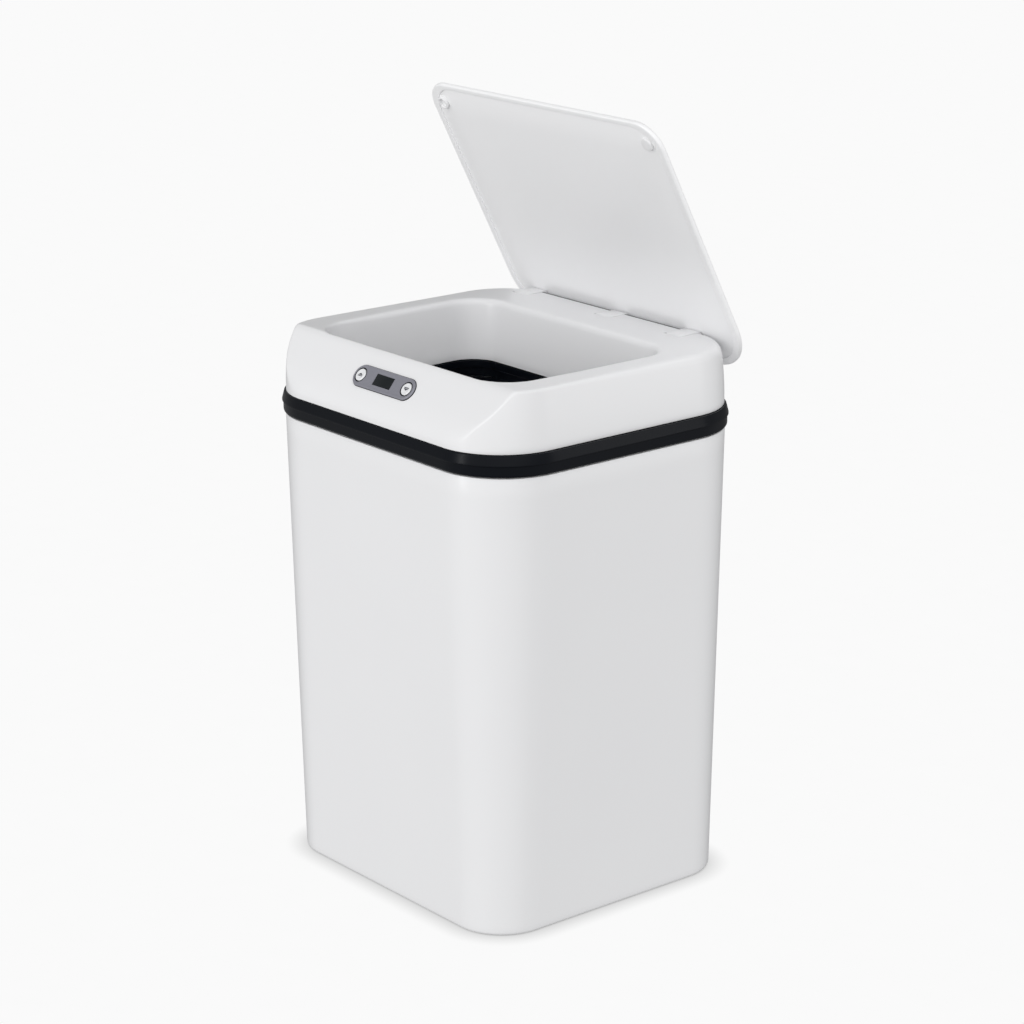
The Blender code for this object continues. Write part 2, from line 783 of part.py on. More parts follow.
door = []
for k in range(5):
    z = DOOR_Z0 + 0.4 + (DOOR_Z1 - DOOR_Z0 - 0.8) * k / 4
    door.append((z, -(HEAD_W / 2 - lean(z))))
inner = [(z, x + 1.8) for z, x in door[::-1]]
battery_door = solid(
    "battery_door", prism_data(door + inner, -DOOR_Y + 0.4, DOOR_Y - 0.4, "y"), WHITE
)


# ---------------------------------------------------------------- control panel
control_plate = solid(
    "control_plate", placed(prism_data(pill(PILL_L, PILL_H), 0.3, 1.4, "z"), SLANT), GREY
)
hole = prism_data(circle(0, 0, 4.7, 24), -2, 4, "z")
wx, wy = WINDOW
cut(
    control_plate,
    placed(hole, SLANT @ Matrix.Translation((BUTTON_U, 0, 0))),
    placed(hole, SLANT @ Matrix.Translation((-BUTTON_U, 0, 0))),
    placed(box_data((-wx / 2 - 0.3, -wy / 2 - 0.3, -2), (wx / 2 + 0.3, wy / 2 + 0.3, 4)), SLANT),
)
ir_window = solid(
    "ir_window",
    placed(box_data((-wx / 2, -wy / 2, -1.2), (wx / 2, wy / 2, 1.3)), SLANT),
    LENS,
)


def turned(profile, steps=24):
    """Turned solid about local Z from (radius, z) pairs, bottom first."""
    verts, faces = [], []
    for r, z in profile:
        verts += [(a, b, z) for a, b in circle(0, 0, r, steps)]
    n = len(profile)
    faces.append(tuple(range(steps))[::-1])
    faces.append(tuple((n - 1) * steps + i for i in range(steps)))
    for k in range(n - 1):
        for i in range(steps):
            j = (i + 1) % steps
            faces.append((k * steps + i, k * steps + j, (k + 1) * steps + j, (k + 1) * steps + i))
    return verts, faces


BUTTON = [(2.0, -5.2), (2.0, -1.9), (5.2, -1.9), (5.2, -0.7), (4.2, -0.7), (4.2, 1.3), (3.7, 1.8)]
button_open = solid(
    "button_open", placed(turned(BUTTON), SLANT @ Matrix.Translation((-BUTTON_U, 0, 0))), SILVER
)
button_close = solid(
    "button_close", placed(turned(BUTTON), SLANT @ Matrix.Translation((BUTTON_U, 0, 0))), SILVER
)
circuit_board = solid(
    "circuit_board", placed(box_data((-33, -10.5, -9.6), (33, 9.0, -8.0)), SLANT), BOARD
)
for label, u in (("open", -BUTTON_U), ("close", BUTTON_U)):
    solid(
        f"tact_switch_{label}",
        placed(box_data((u - 3, -3, -7.7), (u + 3, 3, -6.4)), SLANT),
        BLACK,
    )
DOME = [(2.3, -7.7), (2.3, -4.2), (1.7, -3.0), (0.6, -2.4)]
ir_emitter = solid(
    "ir_emitter", placed(turned(DOME, 16), SLANT @ Matrix.Translation((-4.6, 0, 0))), LENS
)
ir_receiver = solid(
    "ir_receiver", placed(turned(DOME, 16), SLANT @ Matrix.Translation((4.6, 0, 0))), LENS
)


# ---------------------------------------------------------------- power switch on the rear
REAR_Y = HEAD_D / 2 - lean(SWITCH_Z)
switch_body = solid(
    "switch_body",
    box_data((SWITCH_X - 7.2, 95.0, SWITCH_Z - 4.2), (SWITCH_X + 7.2, REAR_Y - 0.6, SWITCH_Z + 4.2)),
    BLACK,
)
cut(
    switch_body,
    box_data((SWITCH_X - 4.8, 99.5, SWITCH_Z - 2.3), (SWITCH_X + 4.8, 110.0, SWITCH_Z + 2.3)),
)
switch_knob = solid(
    "switch_knob",
    box_data((SWITCH_X - 4.4, 99.9, SWITCH_Z - 1.9), (SWITCH_X + 0.2, REAR_Y + 0.9, SWITCH_Z + 1.9)),
    GREY,
)


# ---------------------------------------------------------------- wiring held inside the head
def smooth_route(points, spacing):
    """Points along a Catmull-Rom curve through the given ones."""
    pts = [Vector(p) for p in points]
    pts = [2 * pts[0] - pts[1]] + pts + [2 * pts[-1] - pts[-2]]
    out = []
    for k in range(1, len(pts) - 2):
        p0, p1, p2, p3 = pts[k - 1 : k + 3]
        count = max(1, round((p2 - p1).length / spacing))
        for s in range(count):
            t = s / count
            out.append(
                0.5
                * (
                    2 * p1
                    + (p2 - p0) * t
                    + (2 * p0 - 5 * p1 + 4 * p2 - p3) * t * t
                    + (3 * p1 - p0 - 3 * p2 + p3) * t**3
                )
            )
    out.append(pts[-2])
    return out


def wire(name, points, diameter, mat):
    curve = bpy.data.curves.new(name, "CURVE")
    curve.dimensions = "3D"
    curve.bevel_depth = diameter / 2 * MM
    curve.bevel_resolution = 1
    curve.use_fill_caps = True
    route = smooth_route(points, 12.0)
    spline = curve.splines.new("POLY")
    spline.points.add(len(route) - 1)
    for point, p in zip(spline.points, route):
        point.co = (p.x * MM, p.y * MM, p.z * MM, 1.0)
    obj = bpy.data.objects.new(name, curve)
    obj.data.materials.append(mat)
    bpy.context.scene.collection.objects.link(obj)
    return obj


def hug(sx, sy, angles, z, radius=40.0):
    """Points that follow the inside of a head corner. 0 degrees faces the side, 90 the front or rear."""
    cx, cy = HEAD_W / 2 - HEAD_R, HEAD_D / 2 - HEAD_R
    return [
        (
            sx * (cx + radius * math.cos(math.radians(a))),
            sy * (cy + radius * math.sin(math.radians(a))),
            z,
        )
        for a in angles
    ]


wire_battery = wire(
    "wire_battery",
    [(-106.5, -49.0, 321.0), (-109.5, -53.5, 320.6)]
    + hug(-1, -1, (8, 30, 52, 74), 319.4)
    + [(-60.0, -99.6, 319.4), (-44.0, -97.2, 321.5), (-33.6, -91.4, 325.5)],
    1.8,
    WIRE,
)
wire_switch = wire(
    "wire_switch",
    [(-106.5, 49.0, 320.6), (-109.5, 53.5, 320.0)]
    + hug(-1, 1, (8, 30, 52, 74), 319.4)
    + [(-60.0, 100.6, 319.4), (0.0, 100.6, 319.4), (28.0, 100.6, 320.0), (42.3, 100.6, 323.0)],
    1.8,
    WIRE,
)
wire_motor = wire(
    "wire_motor",
    [(33.6, -91.4, 325.5), (44.0, -97.2, 321.5), (60.0, -99.6, 319.4)]
    + hug(1, -1, (74, 52, 30, 8), 319.4)
    + [
        (112.0, -40.0, 319.4),
        (112.0, 40.0, 319.4),
        (111.8, 62.0, 320.2),
        (109.6, 74.0, 323.0),
        (102.0, 84.0, 328.0),
        (88.0, 79.1, 335.2),
        (75.0, 75.1, 339.8),
        (65.2, 72.1, 340.6),
    ],
    1.8,
    WIRE,
)
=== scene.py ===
"""Looks of the sensor trash can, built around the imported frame. Millimetres in the shape code, metres in Blender."""

import math

import bpy
import numpy as np
from mathutils import Matrix, Vector


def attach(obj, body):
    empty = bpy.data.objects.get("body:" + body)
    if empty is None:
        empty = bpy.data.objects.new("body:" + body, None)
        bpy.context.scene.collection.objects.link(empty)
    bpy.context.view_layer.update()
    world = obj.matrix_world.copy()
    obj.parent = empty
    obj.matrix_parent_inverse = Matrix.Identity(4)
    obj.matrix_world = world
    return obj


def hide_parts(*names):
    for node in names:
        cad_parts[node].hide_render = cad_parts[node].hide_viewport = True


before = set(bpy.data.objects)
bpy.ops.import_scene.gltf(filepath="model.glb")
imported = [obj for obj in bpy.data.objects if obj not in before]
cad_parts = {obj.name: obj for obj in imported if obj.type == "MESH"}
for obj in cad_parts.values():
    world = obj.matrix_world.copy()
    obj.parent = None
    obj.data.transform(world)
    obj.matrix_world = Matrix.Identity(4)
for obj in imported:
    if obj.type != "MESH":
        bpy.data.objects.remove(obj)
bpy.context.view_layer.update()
MM = 0.001

# ---------------------------------------------------------------- sizes shared with the frame
BODY0, BODY1 = (221.4, 198.3, 33.9), (240.9, 212.1, 46.0)
NECK, BODY_WALL, FLOOR_T, BODY_TOP = 1.9, 1.8, 2.4, 310.6
BAND = (243.8, 215.0, 47.5)
BAND_Z0, BAND_Z1 = 299.4, 313.1
HEAD_W, HEAD_D, HEAD_R = 238.5, 212.0, 45.5
HEAD_Z0, HEAD_FOOT, DECK_Z = 314.2, 313.4, 351.6
HEAD_BULGE, HEAD_LEAN = 1.9, 31.0
SLANT_Y, SLANT_Z, SLANT_K = -81.2, 351.6, 1.21
THROAT = (96.8, -78.6, 57.5, 24.0)
THROAT_FOOT_AT = (91.5, -73.0, 51.5, 20.0)
FOOT_Z = 312.2
AXIS_Y, AXIS_Z, LID_OPEN = 92.17, 341.6, 62.75
LID_P, LID_HALF, LID_FRONT, LID_TAIL = 11.6, 111.7, 168.0, 19.1
LID_RF, LID_RR, LID_SIDE_RIM, LID_FRONT_RIM = 19.0, 33.0, 5.3, 3.3
ARM_X, ARM_W = (-84.6, -0.8, 67.6), 14.2
CA = 1 / math.hypot(1, SLANT_K)
SA = SLANT_K * CA
PANEL_Y = -93.5
PANEL_Z = SLANT_Z + SLANT_K * (PANEL_Y - SLANT_Y)


# ---------------------------------------------------------------- node helpers
class Nodes:
    """Small helper to lay out a material's node tree."""

    def __init__(self, name):
        self.mat = bpy.data.materials.new(name)
        self.mat.use_nodes = True
        self.tree = self.mat.node_tree
        self.shader = self.tree.nodes["Principled BSDF"]
        self.coord = self.tree.nodes.new("ShaderNodeTexCoord")
        self.last_bump = None

    def new(self, kind, **values):
        node = self.tree.nodes.new(kind)
        for key, value in values.items():
            if hasattr(node, key):
                setattr(node, key, value)
            else:
                node.inputs[key.replace("_", " ")].default_value = value
        return node

    def link(self, a, b):
        self.tree.links.new(a, b)

    def set(self, **values):
        for key, value in values.items():
            self.shader.inputs[key.replace("_", " ")].default_value = value

    def place(self, scale=(1, 1, 1)):
        node = self.new("ShaderNodeMapping")
        node.inputs["Scale"].default_value = scale
        self.link(self.coord.outputs["Object"], node.inputs["Vector"])
        return node.outputs["Vector"]

    def noise(self, scale, detail=2.0, rough=0.5, stretch=(1, 1, 1)):
        node = self.new("ShaderNodeTexNoise")
        node.inputs["Scale"].default_value = scale
        node.inputs["Detail"].default_value = detail
        node.inputs["Roughness"].default_value = rough
        self.link(self.place(stretch), node.inputs["Vector"])
        return node.outputs["Fac"]

    def spread(self, value, lo, hi, from_lo=0.3, from_hi=0.7):
        node = self.new("ShaderNodeMapRange")
        node.inputs["From Min"].default_value = from_lo
        node.inputs["From Max"].default_value = from_hi
        node.inputs["To Min"].default_value = lo
        node.inputs["To Max"].default_value = hi
        self.link(value, node.inputs["Value"])
        return node.outputs["Result"]

    def tint(self, value, a, b):
        node = self.new("ShaderNodeMix", data_type="RGBA")
        node.inputs[6].default_value = (*a, 1)
        node.inputs[7].default_value = (*b, 1)
        self.link(value, node.inputs[0])
        return node.outputs[2]

    def bump(self, value, strength, distance):
        node = self.new("ShaderNodeBump")
        node.inputs["Strength"].default_value = strength
        node.inputs["Distance"].default_value = distance
        self.link(value, node.inputs["Height"])
        if self.last_bump is not None:
            self.link(self.last_bump, node.inputs["Normal"])
        self.last_bump = node.outputs["Normal"]
        self.link(self.last_bump, self.shader.inputs["Normal"])

    def colour(self, socket):
        self.link(socket, self.shader.inputs["Base Color"])

    def rough(self, socket):
        self.link(socket, self.shader.inputs["Roughness"])


def moulded(name, low, high, rough, grain, coat=0.0, spec=0.5, peel=0.10):
    """Moulded plastic: slight shade drift, a fine texture and a faint flow unevenness."""
    m = Nodes(name)
    m.colour(m.tint(m.noise(14.0, 3.0), low, high))
    m.rough(m.spread(m.noise(900.0, 3.0), rough - 0.010, rough + 0.010))
    m.set(Specular_IOR_Level=spec, Coat_Weight=coat, Coat_Roughness=0.12)
    m.bump(m.noise(2600.0, 2.0), grain, 0.00001)
    m.bump(m.noise(75.0, 1.0), peel, 0.0004)
    return m.mat


WHITE = moulded("white_plastic", (0.814, 0.816, 0.828), (0.832, 0.834, 0.844), 0.29, 0.05)
# the lid is the same white plastic as the rest, made brighter here: painted light making up for the light its faces
# lack
LID_WHITE_PAINTED_LIGHT = moulded("lid_white_painted_light", (0.938, 0.940, 0.950), (0.954, 0.955, 0.963), 0.30, 0.05)
BLACK = moulded("black_plastic", (0.0028, 0.0038, 0.0060), (0.0038, 0.0050, 0.0078), 0.25, 0.04, 0.0, 0.10, 0.05)
# dark grey for the strip at the deck's rear edge only: painted shadow of the gap under the lid
GAP_SHADOW_PAINT = moulded("gap_shadow_paint", (0.125, 0.127, 0.136), (0.150, 0.152, 0.162), 0.55, 0.2, 0.0, 0.3)
BUMPER = moulded("bumper", (0.86, 0.862, 0.872), (0.90, 0.902, 0.91), 0.42, 0.2)
BUMPER.node_tree.nodes["Principled BSDF"].inputs["Subsurface Weight"].default_value = 0.15
BUMPER.node_tree.nodes["Principled BSDF"].inputs["Subsurface Radius"].default_value = (
    0.002,
    0.002,
    0.002,
)


def panel_grey():
    m = Nodes("panel_grey")
    speck = m.spread(m.noise(3800.0, 2.0, 0.7), 0.0, 1.0, 0.35, 0.65)
    m.colour(m.tint(speck, (0.225, 0.225, 0.262), (0.290, 0.290, 0.330)))
    m.rough(m.spread(m.noise(1500.0), 0.36, 0.46))
    m.set(Metallic=0.25)
    m.bump(m.noise(3000.0, 3.0), 0.25, 0.00005)
    return m.mat


def dark_lens():
    m = Nodes("dark_lens")
    m.colour(m.tint(m.noise(60.0), (0.0100, 0.0125, 0.0140), (0.0135, 0.0160, 0.0180)))
    m.rough(m.spread(m.noise(220.0), 0.14, 0.20))
    m.set(Specular_IOR_Level=0.16)
    m.bump(m.noise(180.0), 0.04, 0.0001)
    return m.mat


def pearl():
    m = Nodes("button_silver")
    fleck = m.spread(m.noise(5200.0, 2.0, 0.8), 0.0, 1.0, 0.4, 0.6)
    m.colour(m.tint(fleck, (0.80, 0.81, 0.83), (0.90, 0.905, 0.92)))
    m.rough(m.spread(m.noise(1200.0), 0.24, 0.32))
    m.set(Metallic=0.12, Coat_Weight=0.3, Coat_Roughness=0.1)
    m.bump(m.noise(4200.0), 0.08, 0.00003)
    return m.mat


def steel():
    m = Nodes("steel")
    streak = m.noise(700.0, 4.0, 0.6, (0.05, 1, 1))
    m.colour(m.tint(streak, (0.50, 0.50, 0.52), (0.66, 0.66, 0.67)))
    m.rough(m.spread(streak, 0.24, 0.40))
    m.set(Metallic=1.0)
    m.bump(streak, 0.15, 0.00004)
    return m.mat


def acetal():
    m = Nodes("acetal")
    m.colour(m.tint(m.noise(40.0, 3.0), (0.80, 0.78, 0.70), (0.86, 0.84, 0.77)))
    m.rough(m.spread(m.noise(700.0), 0.38, 0.50))
    m.set(Subsurface_Weight=0.1, Subsurface_Scale=0.002)
    m.bump(m.noise(1800.0), 0.12, 0.00005)
    return m.mat


def board():
    m = Nodes("board")
    brick = m.new("ShaderNodeTexBrick")
    brick.inputs["Scale"].default_value = 260.0
    brick.inputs["Mortar Size"].default_value = 0.03
    brick.inputs["Color1"].default_value = (0.020, 0.115, 0.055, 1)
    brick.inputs["Color2"].default_value = (0.028, 0.150, 0.070, 1)
    brick.inputs["Mortar"].default_value = (0.060, 0.260, 0.120, 1)
    m.link(m.place(), brick.inputs["Vector"])
    m.colour(brick.outputs["Color"])
    m.rough(m.spread(m.noise(900.0), 0.30, 0.45))
    m.bump(brick.outputs["Fac"], 0.2, 0.00005)
    return m.mat


def cell_wrap():
    m = Nodes("cell_wrap")
    m.colour(m.tint(m.noise(120.0, 3.0), (0.070, 0.095, 0.160), (0.095, 0.125, 0.200)))
    m.rough(m.spread(m.noise(500.0), 0.22, 0.34))
    m.set(Metallic=0.55)
    m.bump(m.noise(300.0, 1.0, 0.5, (1, 0.2, 1)), 0.10, 0.0001)
    return m.mat


def insulation():
    m = Nodes("wire_insulation")
    m.colour(m.tint(m.noise(400.0), (0.26, 0.015, 0.015), (0.34, 0.025, 0.022)))
    m.rough(m.spread(m.noise(1500.0), 0.40, 0.55))
    m.bump(m.noise(2500.0), 0.15, 0.00005)
    return m.mat


def print_ink():
    m = Nodes("print_ink")
    m.colour(m.tint(m.noise(3000.0), (0.045, 0.047, 0.060), (0.075, 0.078, 0.095)))
    m.rough(m.spread(m.noise(1500.0), 0.45, 0.60))
    return m.mat


GREY, LENS, PEARL, STEEL = panel_grey(), dark_lens(), pearl(), steel()
ACETAL, BOARD, CELL, WIRE, INK = acetal(), board(), cell_wrap(), insulation(), print_ink()


# ---------------------------------------------------------------- mesh helpers
def link(obj):
    bpy.context.scene.collection.objects.link(obj)
    return obj


def make(name, verts, faces, mat, sharp=32.0):
    mesh = bpy.data.meshes.new(name)
    mesh.from_pydata((np.asarray(verts, float) * MM).tolist(), [], faces)
    mesh.validate()
    mesh.shade_smooth()
    mesh.set_sharp_from_angle(angle=math.radians(sharp))
    mesh.materials.append(mat)
    return link(bpy.data.objects.new(name, mesh))


def bake(obj, sharp=32.0):
    """Applies the object's modifiers."""
    graph = bpy.context.evaluated_depsgraph_get()
    mesh = bpy.data.meshes.new_from_object(obj.evaluated_get(graph))
    obj.modifiers.clear()
    obj.data = mesh
    mesh.shade_smooth()
    mesh.set_sharp_from_angle(angle=math.radians(sharp))
    return obj


def carve(obj, cutters, sharp=32.0, operation="DIFFERENCE"):
    for cutter in cutters:
        mod = obj.modifiers.new("cut", "BOOLEAN")
        mod.operation = operation
        mod.solver = "EXACT"
        mod.object = cutter
    bake(obj, sharp)
    for cutter in cutters:
        bpy.data.objects.remove(cutter, do_unlink=True)
    return obj


def soften(obj, width, segments=3, angle=40.0, sharp=50.0):
    mod = obj.modifiers.new("soften", "BEVEL")
    mod.width = width * MM
    mod.segments = segments
    mod.limit_method = "ANGLE"
    mod.angle_limit = math.radians(angle)
    mod.harden_normals = False
    return bake(obj, sharp)


def outline(w, d, r, cy=0.0, nc=20, nx=24, ny=24):
    """Rounded rectangle as an array of points, anticlockwise from above, from the front right corner."""
    rf, rr = r if isinstance(r, tuple) else (r, r)
    pts = []
    corners = []
    for sx, sy, start in ((1, -1, -90), (1, 1, 0), (-1, 1, 90), (-1, -1, 180)):
        rad = rf if sy < 0 else rr
        a = np.radians(start + 90.0 * np.arange(nc + 1) / nc)
        corners.append(
            np.stack(
                [
                    sx * (w / 2 - rad) + rad * np.cos(a),
                    cy + sy * (d / 2 - rad) + rad * np.sin(a),
                ],
                -1,
            )
        )
    for k, count in enumerate((ny, nx, ny, nx)):
        pts.append(corners[k])
        a, b = corners[k][-1], corners[(k + 1) % 4][0]
        t = (np.arange(1, count) / count)[:, None]
        pts.append(a + (b - a) * t)
    return np.concatenate(pts)


def at(points, z):
    return np.concatenate([points, np.full((len(points), 1), float(z))], 1)


def loft(name, rings, mat, closed=False, sharp=32.0, caps=(True, True)):
    rings = np.asarray(rings, float)
    count, n = rings.shape[:2]
    faces = []
    for k in range(count if closed else count - 1):
        a, b = k * n, ((k + 1) % count) * n
        for i in range(n):
            j = (i + 1) % n
            faces.append((a + i, a + j, b + j, b + i))
    if not closed:
        if caps[0]:
            faces.append(tuple(range(n))[::-1])
        if caps[1]:
            faces.append(tuple((count - 1) * n + i for i in range(n)))
    return make(name, rings.reshape(-1, 3), faces, mat, sharp)


def rounded_profile(points, radii, steps=5):
    """A 2-D polyline with its inner corners rounded: quadratic arcs set back by the radius."""
    pts = [np.array(p, float) for p in points]
    out = [pts[0]]
    for k in range(1, len(pts) - 1):
        r = radii[k - 1] if k - 1 < len(radii) else 0
        p = pts[k]
        if r <= 0:
            out.append(p)
            continue
        a = p + (pts[k - 1] - p) / np.linalg.norm(pts[k - 1] - p) * r
        b = p + (pts[k + 1] - p) / np.linalg.norm(pts[k + 1] - p) * r
        for t in np.linspace(0, 1, steps + 1):
            out.append((1 - t) ** 2 * a + 2 * t * (1 - t) * p + t * t * b)
    out.append(pts[-1])
    return out


def prism(points, lo, hi, axis="x"):
    """Extruded polygon. 'x' reads (y, z), 'y' reads (z, x), 'z' reads (x, y), anticlockwise."""
    n = len(points)
    if axis == "x":
        verts = [(lo, a, b) for a, b in points] + [(hi, a, b) for a, b in points]
    elif axis == "y":
        verts = [(b, lo, a) for a, b in points] + [(b, hi, a) for a, b in points]
    else:
        verts = [(a, b, lo) for a, b in points] + [(a, b, hi) for a, b in points]
    faces = [tuple(range(n))[::-1], tuple(range(n, 2 * n))]
    faces += [(i, (i + 1) % n, n + (i + 1) % n, n + i) for i in range(n)]
    return verts, faces


def circle(cx, cy, r, steps=48, start=0.0):
    a = start + 2 * np.pi * np.arange(steps) / steps
    return [(cx + r * math.cos(t), cy + r * math.sin(t)) for t in a]


def box(lo, hi):
    (x0, y0, z0), (x1, y1, z1) = lo, hi
    return prism([(x0, y0), (x1, y0), (x1, y1), (x0, y1)], z0, z1, "z")


def placed(data, matrix):
    return [tuple(matrix @ Vector(p)) for p in data[0]], data[1]


def solid(name, data, mat, sharp=32.0):
    return make(name, data[0], data[1], mat, sharp)


def turned(profile, steps=64):
    """Turned solid about local Z from (radius, z) pairs, bottom first. A radius of 0 closes to a point."""
    rings = [circle(0, 0, max(r, 1e-4), steps) for r, _ in profile]
    verts = [(a, b, z) for ring, (_, z) in zip(rings, profile) for a, b in ring]
    n = len(profile)
    faces = [tuple(range(steps))[::-1], tuple((n - 1) * steps + i for i in range(steps))]
    for k in range(n - 1):
        for i in range(steps):
            j = (i + 1) % steps
            faces.append((k * steps + i, k * steps + j, (k + 1) * steps + j, (k + 1) * steps + i))
    return verts, faces


def smooth_step(t):
    t = min(1.0, max(0.0, t))
    return t * t * (3 - 2 * t)


# ---------------------------------------------------------------- outer bin
def body_ring(z, inward=0.0, least=8.0):
    t = z / 300.0
    w, d, r = (a + (b - a) * t for a, b in zip(BODY0, BODY1))
    return outline(w - 2 * inward, d - 2 * inward, max(r - inward, least))


rings = []
for inward, z in (
    (84.0, 0.9),
    (60.0, 0.9),
    (34.0, 0.9),
    (14.5, 0.9),
    (14.0, 0.75),
    (13.6, 0.15),
    (13.0, 0.0),
    (8.0, 0.0),
    (2.6, 0.0),
):
    rings.append(at(body_ring(0, inward), z))
for k in range(1, 8):
    a = math.radians(90 * k / 8)
    rings.append(at(body_ring(0, 2.6 - 2.6 * math.sin(a)), 2.6 - 2.6 * math.cos(a)))
for z in (2.6, 6, 12, 25, 50, 80, 110, 140, 170, 200, 230, 260, 285, 298.2):
    rings.append(at(body_ring(z), z))
rings += [
    at(body_ring(298.7, 0.15), 298.65),
    at(body_ring(298.8, 0.6), 298.85),
    at(body_ring(298.9, NECK), 298.9),
    at(body_ring(305, NECK), 305),
    at(body_ring(310, NECK), 310.1),
    at(body_ring(BODY_TOP, NECK + 0.4), 310.5),
    at(body_ring(BODY_TOP, NECK + 0.9), BODY_TOP),
    at(body_ring(BODY_TOP, NECK + 1.4), 310.5),
    at(body_ring(BODY_TOP, NECK + BODY_WALL), 310.0),
    at(body_ring(296, NECK + BODY_WALL), 296.0),
    at(body_ring(292, BODY_WALL), 292.0),
]
for z in (250, 200, 150, 100, 60, 30, 12.0):
    rings.append(at(body_ring(z, BODY_WALL), z))
for k in range(1, 8):
    a = math.radians(90 * k / 8)
    rings.append(
        at(body_ring(4, BODY_WALL + 6.0 - 6.0 * math.cos(a)), FLOOR_T + 6.0 - 6.0 * math.sin(a))
    )
for inward in (9.0, 20.0, 40.0, 60.0, 84.0):
    rings.append(at(body_ring(4, inward), FLOOR_T))
bin_shell = loft("bin_shell", rings, WHITE)
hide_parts("outer_body")
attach(bin_shell, "bin")


# ---------------------------------------------------------------- black frame ring and bag ring
def band_ring(inward, z):
    return at(outline(BAND[0] - 2 * inward, BAND[1] - 2 * inward, BAND[2] - inward), z)


def collar_ring(grow, z):
    hx, y0, y1, r = THROAT_FOOT_AT
    return at(outline(2 * (hx + grow), y1 - y0 + 2 * grow, r + grow, (y0 + y1) / 2), z)


outside = rounded_profile(
    [
        (2.6, BAND_Z0),
        (0.0, BAND_Z0),
        (0.0, 306.4),
        (-0.75, 306.7),
        (-0.75, 307.4),
        (0.75, BAND_Z1),
        (3.0, BAND_Z1),
    ],
    [2.2, 0.25, 0.22, 0.3, 0.55],
    5,
)
rings = [band_ring(inward, z) for inward, z in outside]
inside = rounded_profile(
    [
        (4.6, BAND_Z1),
        (3.6, 311.9),
        (0.0, 311.9),
        (0.0, 306.6),
        (1.0, 306.3),
        (1.0, 300.4),
        (2.8, 300.4),
        (2.8, 309.6),
    ],
    [0.4, 1.1, 0.5, 0.4, 0.5, 0.5],
    5,
)
rings += [collar_ring(grow, z) for grow, z in inside]
under = [(8.6, 311.2), (7.0, 303.0), (5.2, 303.0), (5.2, 311.2), (2.6, 311.2)]
rings += [band_ring(inward, z) for inward, z in under]
frame_band = loft("frame_band", rings, BLACK, closed=True)
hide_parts("trim_ring")
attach(frame_band, "frame_ring")

profile = rounded_profile(
    [
        (1.1, 296.0),
        (1.1, 289.0),
        (4.8, 288.0),
        (4.8, 290.2),
        (2.9, 291.2),
        (2.9, 300.0),
        (1.1, 300.0),
        (1.1, 296.0),
    ],
    [1.2, 0.7, 0.7, 0.6, 0.5, 0.5],
    4,
)
bag_hoop = loft("bag_hoop", [collar_ring(g, z) for g, z in profile[:-1]], BLACK, closed=True)
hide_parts("bag_ring")
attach(bag_hoop, "bag_holder")


# ---------------------------------------------------------------- head
NC, NX, NY = 44, 110, 110


def lean(z):
    t = np.maximum(0.0, (z - HEAD_Z0) / HEAD_LEAN)
    return HEAD_BULGE * t * t


def head_at(inset):
    return outline(
        HEAD_W - 2 * inset, HEAD_D - 2 * inset, HEAD_R - inset, 0.0, NC, NX, NY
    )


def head_each(inset):
    """One point of the head's outline per column, with its own inset in each column."""
    return head_at(0.0) - head_normals * np.asarray(inset)[:, None]


def outline_normals(w, d, r):
    pts = outline(w, d, r, 0.0, NC, NX, NY)
    cx, cy = w / 2 - r, d / 2 - r
    core = np.stack([np.clip(pts[:, 0], -cx, cx), np.clip(pts[:, 1], -cy, cy)], -1)
    n = pts - core
    return n / np.linalg.norm(n, axis=1)[:, None]


head_normals = outline_normals(HEAD_W, HEAD_D, HEAD_R)


def top_at(xy, k=1.6):
    """The head's top surface: the deck and the slanted front, blended over about k mm."""
    slant = SLANT_Z + SLANT_K * (xy[:, 1] - SLANT_Y)
    h = np.clip(0.5 + 0.5 * (slant - DECK_Z) / (2 * k), 0.0, 1.0)
    return slant * (1 - h) + DECK_Z * h - 2 * k * h * (1 - h)


def throat_ring(grow, t):
    hx, y0, y1, r = (a + (b - a) * t for a, b in zip(THROAT, THROAT_FOOT_AT))
    return outline(
        2 * (hx + grow), y1 - y0 + 2 * grow, r + grow, (y0 + y1) / 2, NC, NX, NY
    )


def clear_of_lid(p, z, reach=11.25):
    """Pulls the rear edge inside what the lid's underside sweeps on its way round the hinge."""
    p, z = p.copy(), np.array(z, float)
    th = math.radians(LID_OPEN)
    dy, dz = p[:, 1] - AXIS_Y, z - AXIS_Z
    r = np.hypot(dy, dz)
    high = (dy > 0) & (dz > dy / math.tan(th)) & (r > reach)
    scale = np.where(high, reach / np.maximum(r, 1e-6), 1.0)
    dy, dz = dy * scale, dz * scale
    low = (dy > 0) & ~high & (dz > -14.0) & (dy * math.sin(th) + dz * math.cos(th) > reach)
    dy = np.where(low, (reach - dz * math.cos(th)) / math.sin(th), dy)
    p[:, 1] = AXIS_Y + dy
    return p, AXIS_Z + dz


